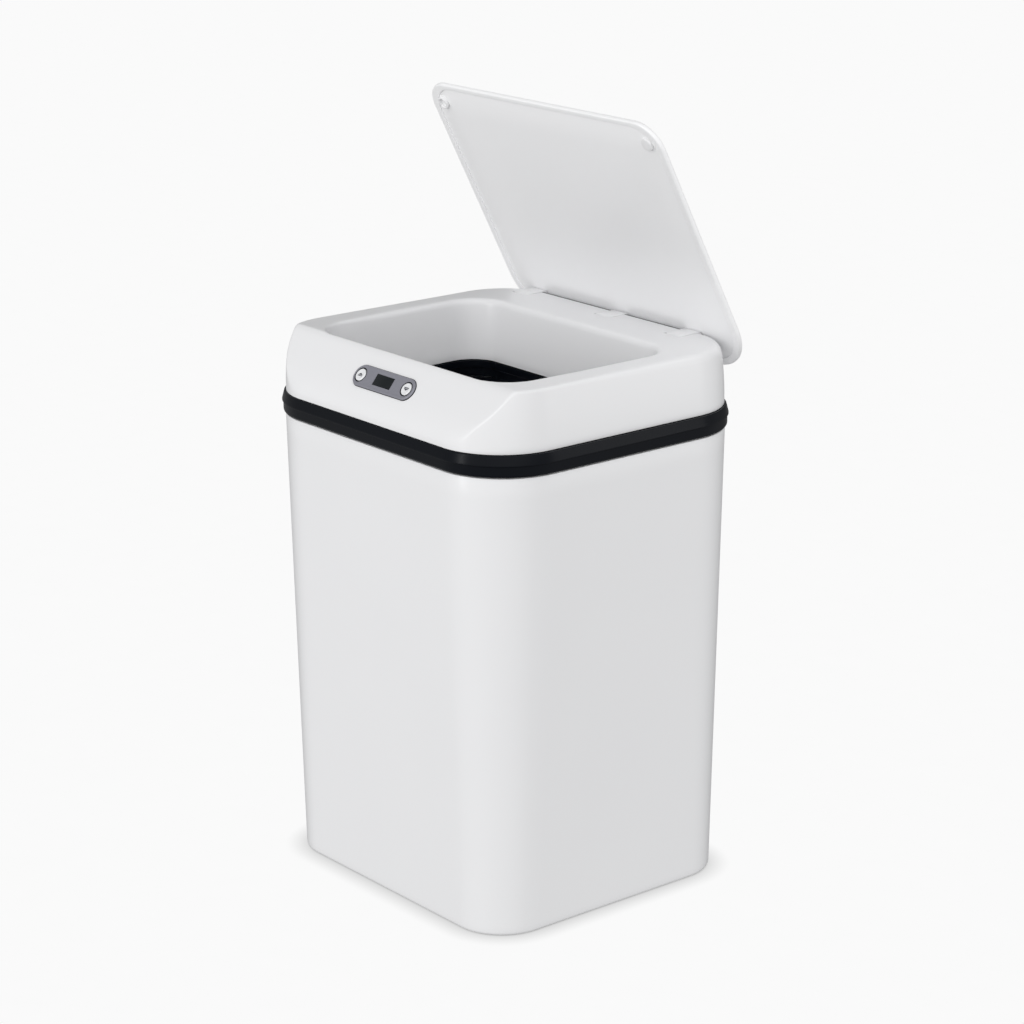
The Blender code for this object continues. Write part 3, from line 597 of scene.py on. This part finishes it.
def head_columns():
    base = head_at(0.0)
    n = len(base)
    zt = np.full(n, DECK_Z)
    for _ in range(60):
        zt = 0.5 * zt + 0.5 * top_at(head_each(lean(zt)))
    # how far the edge between wall and top is rounded, each way
    low = np.clip((zt - 321.6) / 9.5, 0, 1)
    low = low * low * (3 - 2 * low)
    high = np.clip((zt - 340.6) / 10.5, 0, 1)
    high = high * high * (3 - 2 * high)
    aft = np.clip((base[:, 1] + 75.0) / 150.0, 0, 1)
    aft = aft * aft * (3 - 2 * aft)
    wall_back = 5.6 * (1 - low) + 1.5 * low * (1 - high) + (2.0 + 3.6 * aft) * high
    top_back = 11.0 * (1 - low) + 1.6 * low * (1 - high) + (2.4 + 4.2 * aft) * high
    behind = np.clip((base[:, 1] - 84.0) / 14.0, 0, 1)
    behind = behind * behind * (3 - 2 * behind)
    wall_back = wall_back + 2.0 * behind
    rows = []
    z_join = zt - wall_back
    for t in np.linspace(0, 1, 9):
        z = HEAD_FOOT + (z_join - HEAD_FOOT) * t
        if t == 0:
            rows.append((head_each(lean(z) + 0.45), z))
            rows.append((head_each(lean(z + 0.1) + 0.12), z + 0.12))
            z = z + 0.4
        rows.append((head_each(lean(z)), z))
    edge_in = lean(zt)
    p0, z0 = rows[-1]
    p1, z1 = head_each(edge_in), zt
    p2 = head_each(edge_in + top_back)
    z2 = top_at(p2)
    for t in np.linspace(0, 1, 13)[1:]:
        a, b, c = (1 - t) ** 2, 2 * t * (1 - t), t * t
        rows.append((a * p0 + b * p1 + c * p2, a * z0 + b * z1 + c * z2))
    rows = [clear_of_lid(p, z) for p, z in rows]
    p2, z2 = clear_of_lid(p2, z2)
    # from there over the top to the mouth of the throat, whose edge is rounder at the rear
    mouth = throat_ring(0.0, 0)
    rear = np.clip((mouth[:, 1] + 70.0) / 60.0, 0, 1)
    lip = 2.0 + 2.4 * rear * rear * (3 - 2 * rear)
    hx, y0, y1, r = THROAT
    core = np.stack(
        [
            np.clip(mouth[:, 0], -(hx - r), hx - r),
            np.clip(mouth[:, 1], y0 + r, y1 - r),
        ],
        -1,
    )
    out = mouth - core
    out /= np.linalg.norm(out, axis=1)[:, None]
    q0 = mouth + out * lip[:, None]
    for t in np.linspace(0, 1, 15)[1:]:
        s = t
        p = p2 + (q0 - p2) * s
        rows.append((p, top_at(p)))
    zq = top_at(q0)
    zc = top_at(mouth)
    wall_in = throat_ring(0.0, 0)
    drop = (throat_ring(0.0, 1) - wall_in) / (DECK_Z - FOOT_Z)
    zq2 = zc - lip
    q2 = wall_in + drop * (DECK_Z - zq2)[:, None]
    for t in np.linspace(0, 1, 9)[1:]:
        a, b, c = (1 - t) ** 2, 2 * t * (1 - t), t * t
        rows.append((a * q0 + b * mouth + c * q2, a * zq + b * zc + c * zq2))
    for t in np.linspace(0, 1, 9)[1:]:
        z = zq2 + (FOOT_Z + 0.35 - zq2) * t
        rows.append((wall_in + drop * (DECK_Z - z)[:, None], z))
    foot, foot_out = throat_ring(0.0, 1), throat_ring(2.0, 1)
    rows.append((throat_ring(0.12, 1), np.full(n, FOOT_Z + 0.1)))
    rows.append((throat_ring(0.4, 1), np.full(n, FOOT_Z)))
    rows.append((foot_out, np.full(n, FOOT_Z)))
    # hidden inside of the head
    rows.append((throat_ring(2.0, 0.15), np.full(n, DECK_Z - 7.0)))
    under = throat_ring(4.6, 0)
    rows.append((under, np.minimum(DECK_Z - 2.4, top_at(under) - 3.2)))
    for t in (0.35, 0.7):
        p = under + (p2 - under) * t
        rows.append((p, np.minimum(DECK_Z - 2.3, top_at(p) - 3.2)))
    inner = head_each(edge_in + np.maximum(top_back * 0.75, 4.6))
    rows.append((inner, top_at(inner) - 3.4))
    z = np.minimum(z_join - 1.0, top_at(inner) - 5.0)
    rows.append((head_each(lean(z) + 2.4), z))
    z = np.full(n, HEAD_FOOT)
    rows.append((head_each(lean(z) + 2.2), z))
    return [np.concatenate([p, np.asarray(z)[:, None]], 1) for p, z in rows]


head_skin = loft("head_skin", head_columns(), WHITE, closed=True, sharp=38.0)

SLANT = Matrix(
    ((1, 0, 0, 0), (0, CA, -SA, PANEL_Y), (0, SA, CA, PANEL_Z), (0, 0, 0, 1))
)


def pill(length, height, steps=24):
    r = height / 2
    pts = []
    for sx, start in ((1, -90), (-1, 90)):
        for k in range(steps + 1):
            a = math.radians(start + 180.0 * k / steps)
            pts.append((sx * (length / 2 - r) + r * math.cos(a), r * math.sin(a)))
    return pts


PILL_L, PILL_H, BUTTON_U = 59.8, 14.7, 23.2
WINDOW = (17.4, 7.7)
DOOR_Y, DOOR_Z0, DOOR_Z1 = 48.0, 318.6, 341.4
SWITCH_X, SWITCH_Z = 50.0, 324.0

POCKET_R = 13.9
cutters = [solid("cut_panel", placed(prism(pill(58.0, 11.4), -5.0, 4.0, "z"), SLANT), WHITE)]
for k, ax in enumerate(ARM_X):
    half = ARM_W / 2 + 0.45
    arc = [
        (AXIS_Y + POCKET_R * math.cos(math.radians(a)), AXIS_Z + POCKET_R * math.sin(math.radians(a)))
        for a in np.linspace(118, 205, 24)
    ]
    pts = [(112.0, DECK_Z + 3.2), (AXIS_Y - math.sqrt(POCKET_R**2 - 10.0**2), DECK_Z + 3.2)]
    pts += [p for p in arc if p[1] <= DECK_Z + 0.02]
    pts += [(AXIS_Y - 8.0, 335.8), (112.0, 335.8)]
    cutters.append(solid(f"cut_arm_{k}", prism(pts, ax - half, ax + half, "x"), WHITE))
cutters.append(
    solid("cut_door", box((-125.0, -DOOR_Y, DOOR_Z0), (-112.0, DOOR_Y, DOOR_Z1)), WHITE)
)
cutters.append(
    solid(
        "cut_switch",
        box((SWITCH_X - 7.6, 98.0, SWITCH_Z - 4.6), (SWITCH_X + 7.6, 112.0, SWITCH_Z + 4.6)),
        WHITE,
    )
)
carve(head_skin, cutters, 38.0)
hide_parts("head_shell")
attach(head_skin, "head")

# thin dark strip along the rear edge of the deck, between the hinge arms: painted shadow, standing in for the shaded
# gap where the lid meets the deck
kink = AXIS_Y + math.sqrt(11.25**2 - (DECK_Z - AXIS_Z) ** 2)
over = [
    (AXIS_Y + r * math.cos(math.radians(a)), AXIS_Z + r * math.sin(math.radians(a)))
    for r, angles in ((11.35, (57.0, 59.5, 62.0)), (10.7, (62.0, 57.0)))
    for a in angles
]
gap_shadow_outline = over[:3] + [(kink - 1.4, DECK_Z + 0.1), (kink - 1.4, DECK_Z - 0.6)] + over[3:]
for label, x0, x1 in (("left", ARM_X[0], ARM_X[1]), ("right", ARM_X[1], ARM_X[2])):
    reach = ARM_W / 2 + 0.45
    strip = solid(f"deck_gap_shadow_{label}", prism(gap_shadow_outline, x0 + reach, x1 - reach, "x"), GAP_SHADOW_PAINT)
    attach(strip, "head")

# ---------------------------------------------------------------- control panel
def dished(points_fn, levels):
    """Stacked outlines: levels are (inward, z)."""
    return [[(x, y, z) for x, y in points_fn(inward)] for inward, z in levels]


def panel_rings():
    levels = [(1.2, 0.05), (0.0, 0.05), (0.0, 0.55)]
    for k in range(1, 7):
        a = math.radians(90 * k / 6)
        levels.append((0.75 - 0.75 * math.cos(a), 0.55 + 0.75 * math.sin(a)))
    levels.append((1.1, 1.30))
    levels.append((1.45, 1.22))
    return dished(lambda i: pill(PILL_L - 2 * i, PILL_H - 2 * i), levels)


rings = [[tuple(SLANT @ Vector(p)) for p in ring] for ring in panel_rings()]
panel = loft("panel", rings, GREY, sharp=40.0)
cutters = []
for k, u in enumerate((-BUTTON_U, BUTTON_U)):
    cutters.append(
        solid(
            f"cut_button_{k}",
            placed(prism(circle(0, 0, 5.0, 64), -2, 4, "z"), SLANT @ Matrix.Translation((u, 0, 0))),
            GREY,
        )
    )
wx, wy = WINDOW
cutters.append(
    solid(
        "cut_window",
        placed(box((-wx / 2 - 0.12, -wy / 2 - 0.12, -2), (wx / 2 + 0.12, wy / 2 + 0.12, 4)), SLANT),
        GREY,
    )
)
carve(panel, cutters, 40.0)
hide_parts("control_plate")
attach(panel, "head")

# black ring round the edge of the panel: painted shade, standing in for the shaded gap between the panel and the head
panel_gap_shade_levels = [(-0.27, -0.3), (-0.27, 0.34), (-0.18, 0.42), (0.3, 0.42), (0.3, -0.3)]
rings = dished(lambda i: pill(PILL_L - 2 * i, PILL_H - 2 * i), panel_gap_shade_levels)
rings = [[tuple(SLANT @ Vector(p)) for p in ring] for ring in rings]
panel_gap_shade = loft("panel_gap_shade", rings, BLACK, closed=True)
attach(panel_gap_shade, "head")

window = solid(
    "window_lens", placed(box((-wx / 2, -wy / 2, -1.2), (wx / 2, wy / 2, 1.16)), SLANT), LENS
)
soften(window, 0.18, 2)
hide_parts("ir_window")
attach(window, "head")

CAP = [(2.0, -5.2), (2.0, -1.9), (5.2, -1.9), (5.2, -0.7), (4.2, -0.7), (4.2, 1.05)]
CAP += [(4.2 - 0.55 + 0.55 * math.cos(math.radians(a)), 1.05 + 0.55 * math.sin(math.radians(a))) for a in (22.5, 45, 67.5, 90)]
CAP += [(3.0, 1.52), (1.6, 1.40), (0.0, 1.36)]


def icon(up):
    """Chevron over a bar for opening, or under it for closing, as flat prisms."""
    s = 1 if up else -1
    parts = [
        prism([(-2.1, -1.05 * s), (2.1, -1.05 * s), (2.1, -0.6 * s), (-2.1, -0.6 * s)][:: 1 if up else -1], 1.30, 1.62, "z"),
        prism([(-2.1, -0.22 * s), (2.1, -0.22 * s), (0.0, 0.98 * s)][:: 1 if up else -1], 1.30, 1.62, "z"),
    ]
    verts, faces = [], []
    for v, f in parts:
        faces += [tuple(i + len(verts) for i in face) for face in f]
        verts += list(v)
    return verts, faces


for label, body, u in (("open", "open_button", -BUTTON_U), ("close", "close_button", BUTTON_U)):
    spot = SLANT @ Matrix.Translation((u, 0, 0))
    cap = solid(f"cap_{label}", placed(turned(CAP), spot), PEARL, 35.0)
    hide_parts(f"button_{label}")
    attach(cap, body)
    mark = solid(f"mark_{label}", placed(icon(label == "open"), spot), INK)
    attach(mark, body)
    bezel = solid(
        f"bezel_{label}",
        placed(turned([(4.98, 0.2), (4.98, 1.30), (4.86, 1.42), (4.72, 1.30), (4.72, 0.2)]), spot),
        BLACK,
    )
    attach(bezel, "head")

# ---------------------------------------------------------------- lid, made shut and swung open
SWING = (
    Matrix.Translation((0, AXIS_Y, AXIS_Z))
    @ Matrix.Rotation(math.radians(-LID_OPEN), 4, "X")
)


def swung(rings):
    m = np.array(SWING)
    rings = np.asarray(rings, float)
    return rings @ m[:3, :3].T + m[:3, 3]


def lid_ring(inward, z):
    return at(
        outline(
            2 * (LID_HALF - inward),
            LID_TAIL + LID_FRONT - 2 * inward,
            (max(LID_RF - inward, 6.5), LID_RR - inward),
            (LID_TAIL - LID_FRONT) / 2,
            32,
            20,
            20,
        ),
        LID_P + z,
    )


def plate_ring(inward, z):
    """Outline of the recess for the inner plate, shrunk by inward."""
    side, front = LID_SIDE_RIM + inward, LID_FRONT_RIM + inward
    return at(
        outline(
            2 * (LID_HALF - side),
            LID_TAIL + LID_FRONT - side - front,
            (max(LID_RF + 0.5 - inward, 4.0), LID_RR - LID_SIDE_RIM - inward),
            (LID_TAIL - LID_FRONT + front - side) / 2,
            32,
            20,
            20,
        ),
        LID_P + z,
    )


recess = rounded_profile([(0.0, 2.1), (0.0, 0.0), (-0.9, 0.0)], [0.6], 6)
edge = rounded_profile(
    [(1.9, 0.0), (0.0, 0.0), (0.0, 3.2), (3.0, 3.85), (7.5, 4.8), (14.0, 5.35), (24.0, 5.4)],
    [1.3, 1.5, 0.9, 1.5, 2.0],
    8,
)
rings = [plate_ring(14.0, 3.6), plate_ring(4.0, 3.0), plate_ring(0.6, 2.2)]
rings += [plate_ring(i, z) for i, z in recess] + [lid_ring(i, z) for i, z in edge]
rings += [lid_ring(24.6, 5.4)]
lid_shell = loft("lid_shell", swung(rings), LID_WHITE_PAINTED_LIGHT, sharp=40.0)
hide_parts("lid_outer")
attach(lid_shell, "lid")

liner = rounded_profile([(20.0, 0.9), (-0.03, 0.9), (-0.03, 1.95)], [0.1], 2)
rings = [plate_ring(i, z) for i, z in liner] + [plate_ring(20.0, 1.95)]
lid_liner = loft("lid_liner", swung(rings), LID_WHITE_PAINTED_LIGHT, sharp=40.0)
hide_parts("lid_inner")
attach(lid_liner, "lid")

PAD_EDGE = [(4.5, 1.0), (4.5, -0.35)]
PAD_EDGE += [
    (4.5 - 0.7 + 0.7 * math.cos(math.radians(a)), -0.35 - 0.7 * math.sin(math.radians(a)))
    for a in (22, 45, 67, 90)
]
PADS = {
    "left": (-1, PAD_EDGE + [(3.3, -1.0), (3.0, -0.7), (2.8, 0.5), (2.3, 0.8), (0.0, 0.85)]),
    "right": (1, PAD_EDGE + [(2.0, -1.08), (0.0, -1.09)]),
}
for side, (sx, pad_profile) in PADS.items():
    spot = SWING @ Matrix.Translation((sx * 99.4, -153.2, LID_P))
    pad = solid(f"pad_{side}", placed(turned(pad_profile[::-1]), spot), BUMPER, 35.0)
    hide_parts(f"lid_bumper_{side}")
    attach(pad, "lid")

TH = math.radians(LID_OPEN)


def pad_point(v, reach=LID_P - 0.04):
    return (
        AXIS_Y + reach * math.sin(TH) - v * math.cos(TH),
        AXIS_Z + reach * math.cos(TH) + v * math.sin(TH),
    )


def arm_profile(notched):
    flat = 10.15
    v_top = (flat - (LID_P - 0.04) * math.cos(TH)) / math.sin(TH)
    pts = [pad_point(v_top, LID_P + 0.6)]
    if notched:
        y, z = pad_point(v_top)
        pts = [pad_point(v_top - 1.4), (y - 0.7, z - 1.3), (y - 0.7, AXIS_Z + flat)]
    r = 12.75
    a0 = math.degrees(math.asin(flat / r))
    for a in np.linspace(180 - a0, 196, 10):
        pts.append((AXIS_Y + r * math.cos(math.radians(a)), AXIS_Z + r * math.sin(math.radians(a))))
    for a in np.linspace(205, 300, 8):
        pts.append((AXIS_Y + 5.2 * math.cos(math.radians(a)), AXIS_Z + 5.2 * math.sin(math.radians(a))))
    pts.append(pad_point(-7.4))
    return pts


for label, ax in zip(("left", "middle", "right"), ARM_X):
    arm = solid(
        f"knuckle_{label}",
        prism(arm_profile(label == "middle"), ax - ARM_W / 2, ax + ARM_W / 2, "x"),
        WHITE,
    )
    soften(arm, 0.25, 2, 50.0, 40.0)
    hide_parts(f"hinge_arm_{label}")
    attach(arm, "lid")

# ---------------------------------------------------------------- left side: battery cover
def side_x(z):
    return -(HEAD_W / 2 - float(lean(np.float64(z))))


def door_shape():
    """The cover as a grid over its face, with rounded edges and a finger recess."""
    z0, z1, y0, y1 = DOOR_Z0 + 0.35, DOOR_Z1 - 0.35, -DOOR_Y + 0.35, DOOR_Y - 0.35
    ys = np.unique(np.concatenate([np.linspace(y0, y1, 97), y0 + np.array([0.12, 0.3, 0.6]), y1 - np.array([0.12, 0.3, 0.6])]))
    zs = np.unique(np.concatenate([np.linspace(z0, z1, 33), z0 + np.array([0.12, 0.3, 0.6]), z1 - np.array([0.12, 0.3, 0.6])]))
    verts, faces = [], []

    def depth(y, z):
        e = min(y - y0, y1 - y, z - z0, z1 - z)
        d = 0.0
        if e < 0.6:
            d += 0.6 - math.sqrt(max(0.0, 0.36 - (0.6 - e) ** 2))
        # thumb dish with three grip ribs, near the rear end of the cover
        q = ((y - 34.0) / 8.5) ** 2 + ((z - 330.0) / 6.0) ** 2
        if q < 1:
            d += 0.9 * (1 - q) ** 0.5 * smooth_step((1 - q) * 3)
            d -= 0.45 * max(0.0, math.cos((y - 34.0) / 3.4 * 2 * math.pi)) ** 3 * smooth_step((1 - q) * 2.5)
        return d

    for y in ys:
        for z in zs:
            verts.append((side_x(z) + depth(y, z), y, z))
    ny, nz = len(ys), len(zs)
    for i in range(ny - 1):
        for j in range(nz - 1):
            a = i * nz + j
            faces.append((a, a + 1, a + nz + 1, a + nz))
    # back face and sides
    off = len(verts)
    for y in ys:
        for z in zs:
            verts.append((side_x(z) + 1.8, y, z))
    for i in range(ny - 1):
        for j in range(nz - 1):
            a = off + i * nz + j
            faces.append((a, a + nz, a + nz + 1, a + 1))
    border = [i * nz for i in range(ny)] + [(ny - 1) * nz + j for j in range(1, nz)]
    border += [i * nz + nz - 1 for i in range(ny - 2, -1, -1)] + [j for j in range(nz - 2, 0, -1)]
    for k in range(len(border)):
        a, b = border[k], border[(k + 1) % len(border)]
        faces.append((a, b, off + b, off + a))
    return verts, faces


cover = solid("cover", door_shape(), WHITE, 40.0)
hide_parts("battery_door")
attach(cover, "battery_cover")

# ---------------------------------------------------------------- rear: power switch
REAR_Y = HEAD_D / 2 - float(lean(np.float64(SWITCH_Z)))
switch = solid(
    "switch_frame",
    box((SWITCH_X - 7.2, 95.0, SWITCH_Z - 4.2), (SWITCH_X + 7.2, REAR_Y - 0.35, SWITCH_Z + 4.2)),
    BLACK,
)
carve(
    switch,
    [
        solid(
            "cut_switch_slot",
            box((SWITCH_X - 4.8, 99.5, SWITCH_Z - 2.3), (SWITCH_X + 4.8, 110.0, SWITCH_Z + 2.3)),
            BLACK,
        )
    ],
)
soften(switch, 0.3, 2)
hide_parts("switch_body")
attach(switch, "head")

knob_pts = [(SWITCH_X - 4.4, 99.9), (SWITCH_X + 0.2, 99.9), (SWITCH_X + 0.2, REAR_Y + 0.9)]
for k in range(3):
    x = SWITCH_X - 0.3 - 1.4 * k
    knob_pts += [(x, REAR_Y + 0.9), (x - 0.35, REAR_Y + 0.45), (x - 0.75, REAR_Y + 0.45), (x - 1.1, REAR_Y + 0.9)]
knob_pts += [(SWITCH_X - 4.4, REAR_Y + 0.9)]
knob = solid("knob", prism(knob_pts, SWITCH_Z - 1.9, SWITCH_Z + 1.9, "z"), GREY)
soften(knob, 0.12, 2)
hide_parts("switch_knob")
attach(knob, "power_knob")

# ---------------------------------------------------------------- carried-over nodes get their materials
NODE_MATERIALS = {
    "head_base": WHITE,
    "hinge_pin_left": STEEL,
    "drive_shaft": STEEL,
    "drive_sector": ACETAL,
    "reduction_gear_2": ACETAL,
    "reduction_gear_1": ACETAL,
    "motor_pinion": STEEL,
    "motor_shaft": STEEL,
    "gear_pin_1": STEEL,
    "gear_pin_2": STEEL,
    "motor_can": STEEL,
    "motor_end_cap": BLACK,
    "gearbox_frame": ACETAL,
    "hinge_bracket_left": ACETAL,
    "hinge_bracket_middle": ACETAL,
    "hinge_bracket_right": ACETAL,
    "battery_holder": BLACK,
    "battery_contact_front": STEEL,
    "battery_contact_rear": STEEL,
    "circuit_board": BOARD,
    "tact_switch_open": BLACK,
    "tact_switch_close": BLACK,
    "ir_emitter": LENS,
    "ir_receiver": LENS,
    "wire_battery": WIRE,
    "wire_switch": WIRE,
    "wire_motor": WIRE,
}
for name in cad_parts:
    if name.startswith("battery_lower") or name.startswith("battery_upper"):
        NODE_MATERIALS[name] = CELL
    if name.startswith("base_screw"):
        NODE_MATERIALS[name] = STEEL
for name, mat in NODE_MATERIALS.items():
    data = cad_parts[name].data
    data.materials.clear()
    data.materials.append(mat)

# ---------------------------------------------------------------- floor, light, camera
mesh = bpy.data.meshes.new("floor")
S = 14.0
mesh.from_pydata([(-S, -S, 0), (S, -S, 0), (S, S, 0), (-S, S, 0)], [], [(0, 1, 2, 3)])
floor = link(bpy.data.objects.new("floor", mesh))


def glowing_floor(glow, reach):
    """A pale floor with its own even tone and a painted contact shadow close to what stands on it."""
    m = Nodes("floor")
    occlusion = m.new("ShaderNodeAmbientOcclusion")
    occlusion.samples = 16
    occlusion.inputs["Distance"].default_value = reach
    # painted contact shadow: the ambient occlusion darkens the floor's glow near the bin, times a faint tone noise
    grain = m.new("ShaderNodeMath", operation="MULTIPLY")
    m.link(m.spread(occlusion.outputs["AO"], 0.5, 1.0, 0.0, 1.0), grain.inputs[0])
    m.link(m.spread(m.noise(40.0), glow - 0.002, glow + 0.002), grain.inputs[1])
    light = m.new("ShaderNodeEmission")
    m.link(grain.outputs[0], light.inputs["Strength"])
    m.link(light.outputs[0], m.tree.nodes["Material Output"].inputs["Surface"])
    return m.mat


mesh.materials.append(glowing_floor(0.956, 0.015))
mesh.materials[0].cycles.emission_sampling = "NONE"
floor.visible_diffuse = False
floor.visible_glossy = False
floor.visible_shadow = False

LOBES = {
    "sky": ((0.0, 0.0, 1.0), 0.0, 0.04, 0.125),
    "ground": ((0.0, 0.0, -1.0), 0.0, 0.04, 0.125),
    "front_left": ((-0.50, -0.87, 0.0), 0.0, 1.0, 0.126),
    "front_left_low": ((-0.28, -0.77, -0.57), 0.3, 1.0, 0.24),
    "right": ((0.94, 0.34, 0.0), 0.0, 1.0, 0.565),
    "left": ((-1.0, 0.0, 0.0), 0.0, 1.0, 0.120),
    "front": ((0.0, -1.0, 0.0), 0.0, 1.0, 0.09),
    "front_high": ((0.45, -0.63, 0.63), 0.3, 1.0, 0.885),
}


def studio(lobes):
    """White room: sky and ground light with broad lobes added on some sides."""
    world = bpy.data.worlds.new("studio")
    world.use_nodes = True
    tree = world.node_tree
    coord = tree.nodes.new("ShaderNodeTexCoord")
    total = None
    for name, (way, start, full, gain) in lobes.items():
        share = tree.nodes.new("ShaderNodeMath")
        share.operation = "MULTIPLY"
        share.name = name
        share.inputs[1].default_value = gain
        dot = tree.nodes.new("ShaderNodeVectorMath")
        dot.operation = "DOT_PRODUCT"
        dot.inputs[1].default_value = way
        tree.links.new(coord.outputs["Generated"], dot.inputs[0])
        lobe = tree.nodes.new("ShaderNodeMapRange")
        lobe.interpolation_type = "SMOOTHSTEP"
        lobe.inputs["From Min"].default_value = start
        lobe.inputs["From Max"].default_value = full
        tree.links.new(dot.outputs["Value"], lobe.inputs["Value"])
        tree.links.new(lobe.outputs["Result"], share.inputs[0])
        if total is None:
            total = share.outputs[0]
        else:
            add = tree.nodes.new("ShaderNodeMath")
            tree.links.new(total, add.inputs[0])
            tree.links.new(share.outputs[0], add.inputs[1])
            total = add.outputs[0]
    tree.links.new(total, tree.nodes["Background"].inputs["Strength"])
    tree.nodes["Background"].inputs["Color"].default_value = (1.0, 1.0, 1.0, 1)
    bpy.context.scene.world = world


studio(LOBES)


def area(name, az, elev, dist, size, power, target=(0, 0, 0.25), colour=(1, 1, 1)):
    """Softbox at a bearing from the front (-Y) towards +X, facing the target."""
    a, e = math.radians(az), math.radians(elev)
    pos = Vector(target) + dist * Vector(
        (math.sin(a) * math.cos(e), -math.cos(a) * math.cos(e), math.sin(e))
    )
    light = bpy.data.lights.new(name, "AREA")
    light.shape = "RECTANGLE"
    light.size, light.size_y = size
    light.energy = power
    light.color = colour
    obj = link(bpy.data.objects.new(name, light))
    obj.location = pos
    obj.rotation_euler = (Vector(target) - pos).to_track_quat("-Z", "Y").to_euler()
    return obj


area("strip_front", -9, 16, 1.7, (0.17, 1.6), 6.6)
area("strip_right", 128, 16, 1.7, (0.24, 1.6), 2.6)
area("rim_right", 155, 48, 1.8, (0.9, 0.30), 2.1)
area("rim_left", -110, 37, 1.8, (0.9, 0.30), 0.9)
# low soft fill for the rear and left walls, so that they read as white from behind
fill = area("fill_back", -140, -10, 2.2, (1.6, 1.2), 24.0)
fill.visible_glossy = False
fill.visible_camera = False

camera = bpy.data.cameras.new("camera")
camera.sensor_width = 36.0
camera.lens = 109.979
cam = link(bpy.data.objects.new("camera", camera))
R = Vector((0.63127184, 0.77554302, -0.00537466))
U = Vector((-0.22406041, 0.18900511, 0.95607217))
F = Vector((-0.74249094, 0.60233719, -0.29308209))
cam.matrix_world = Matrix(
    (
        (R.x, U.x, -F.x, 1.49379575),
        (R.y, U.y, -F.y, -1.20516437),
        (R.z, U.z, -F.z, 0.82355098),
        (0, 0, 0, 1),
    )
)
bpy.context.scene.camera = cam
bpy.context.scene.view_settings.view_transform = "Standard"

bpy.context.view_layer.update()
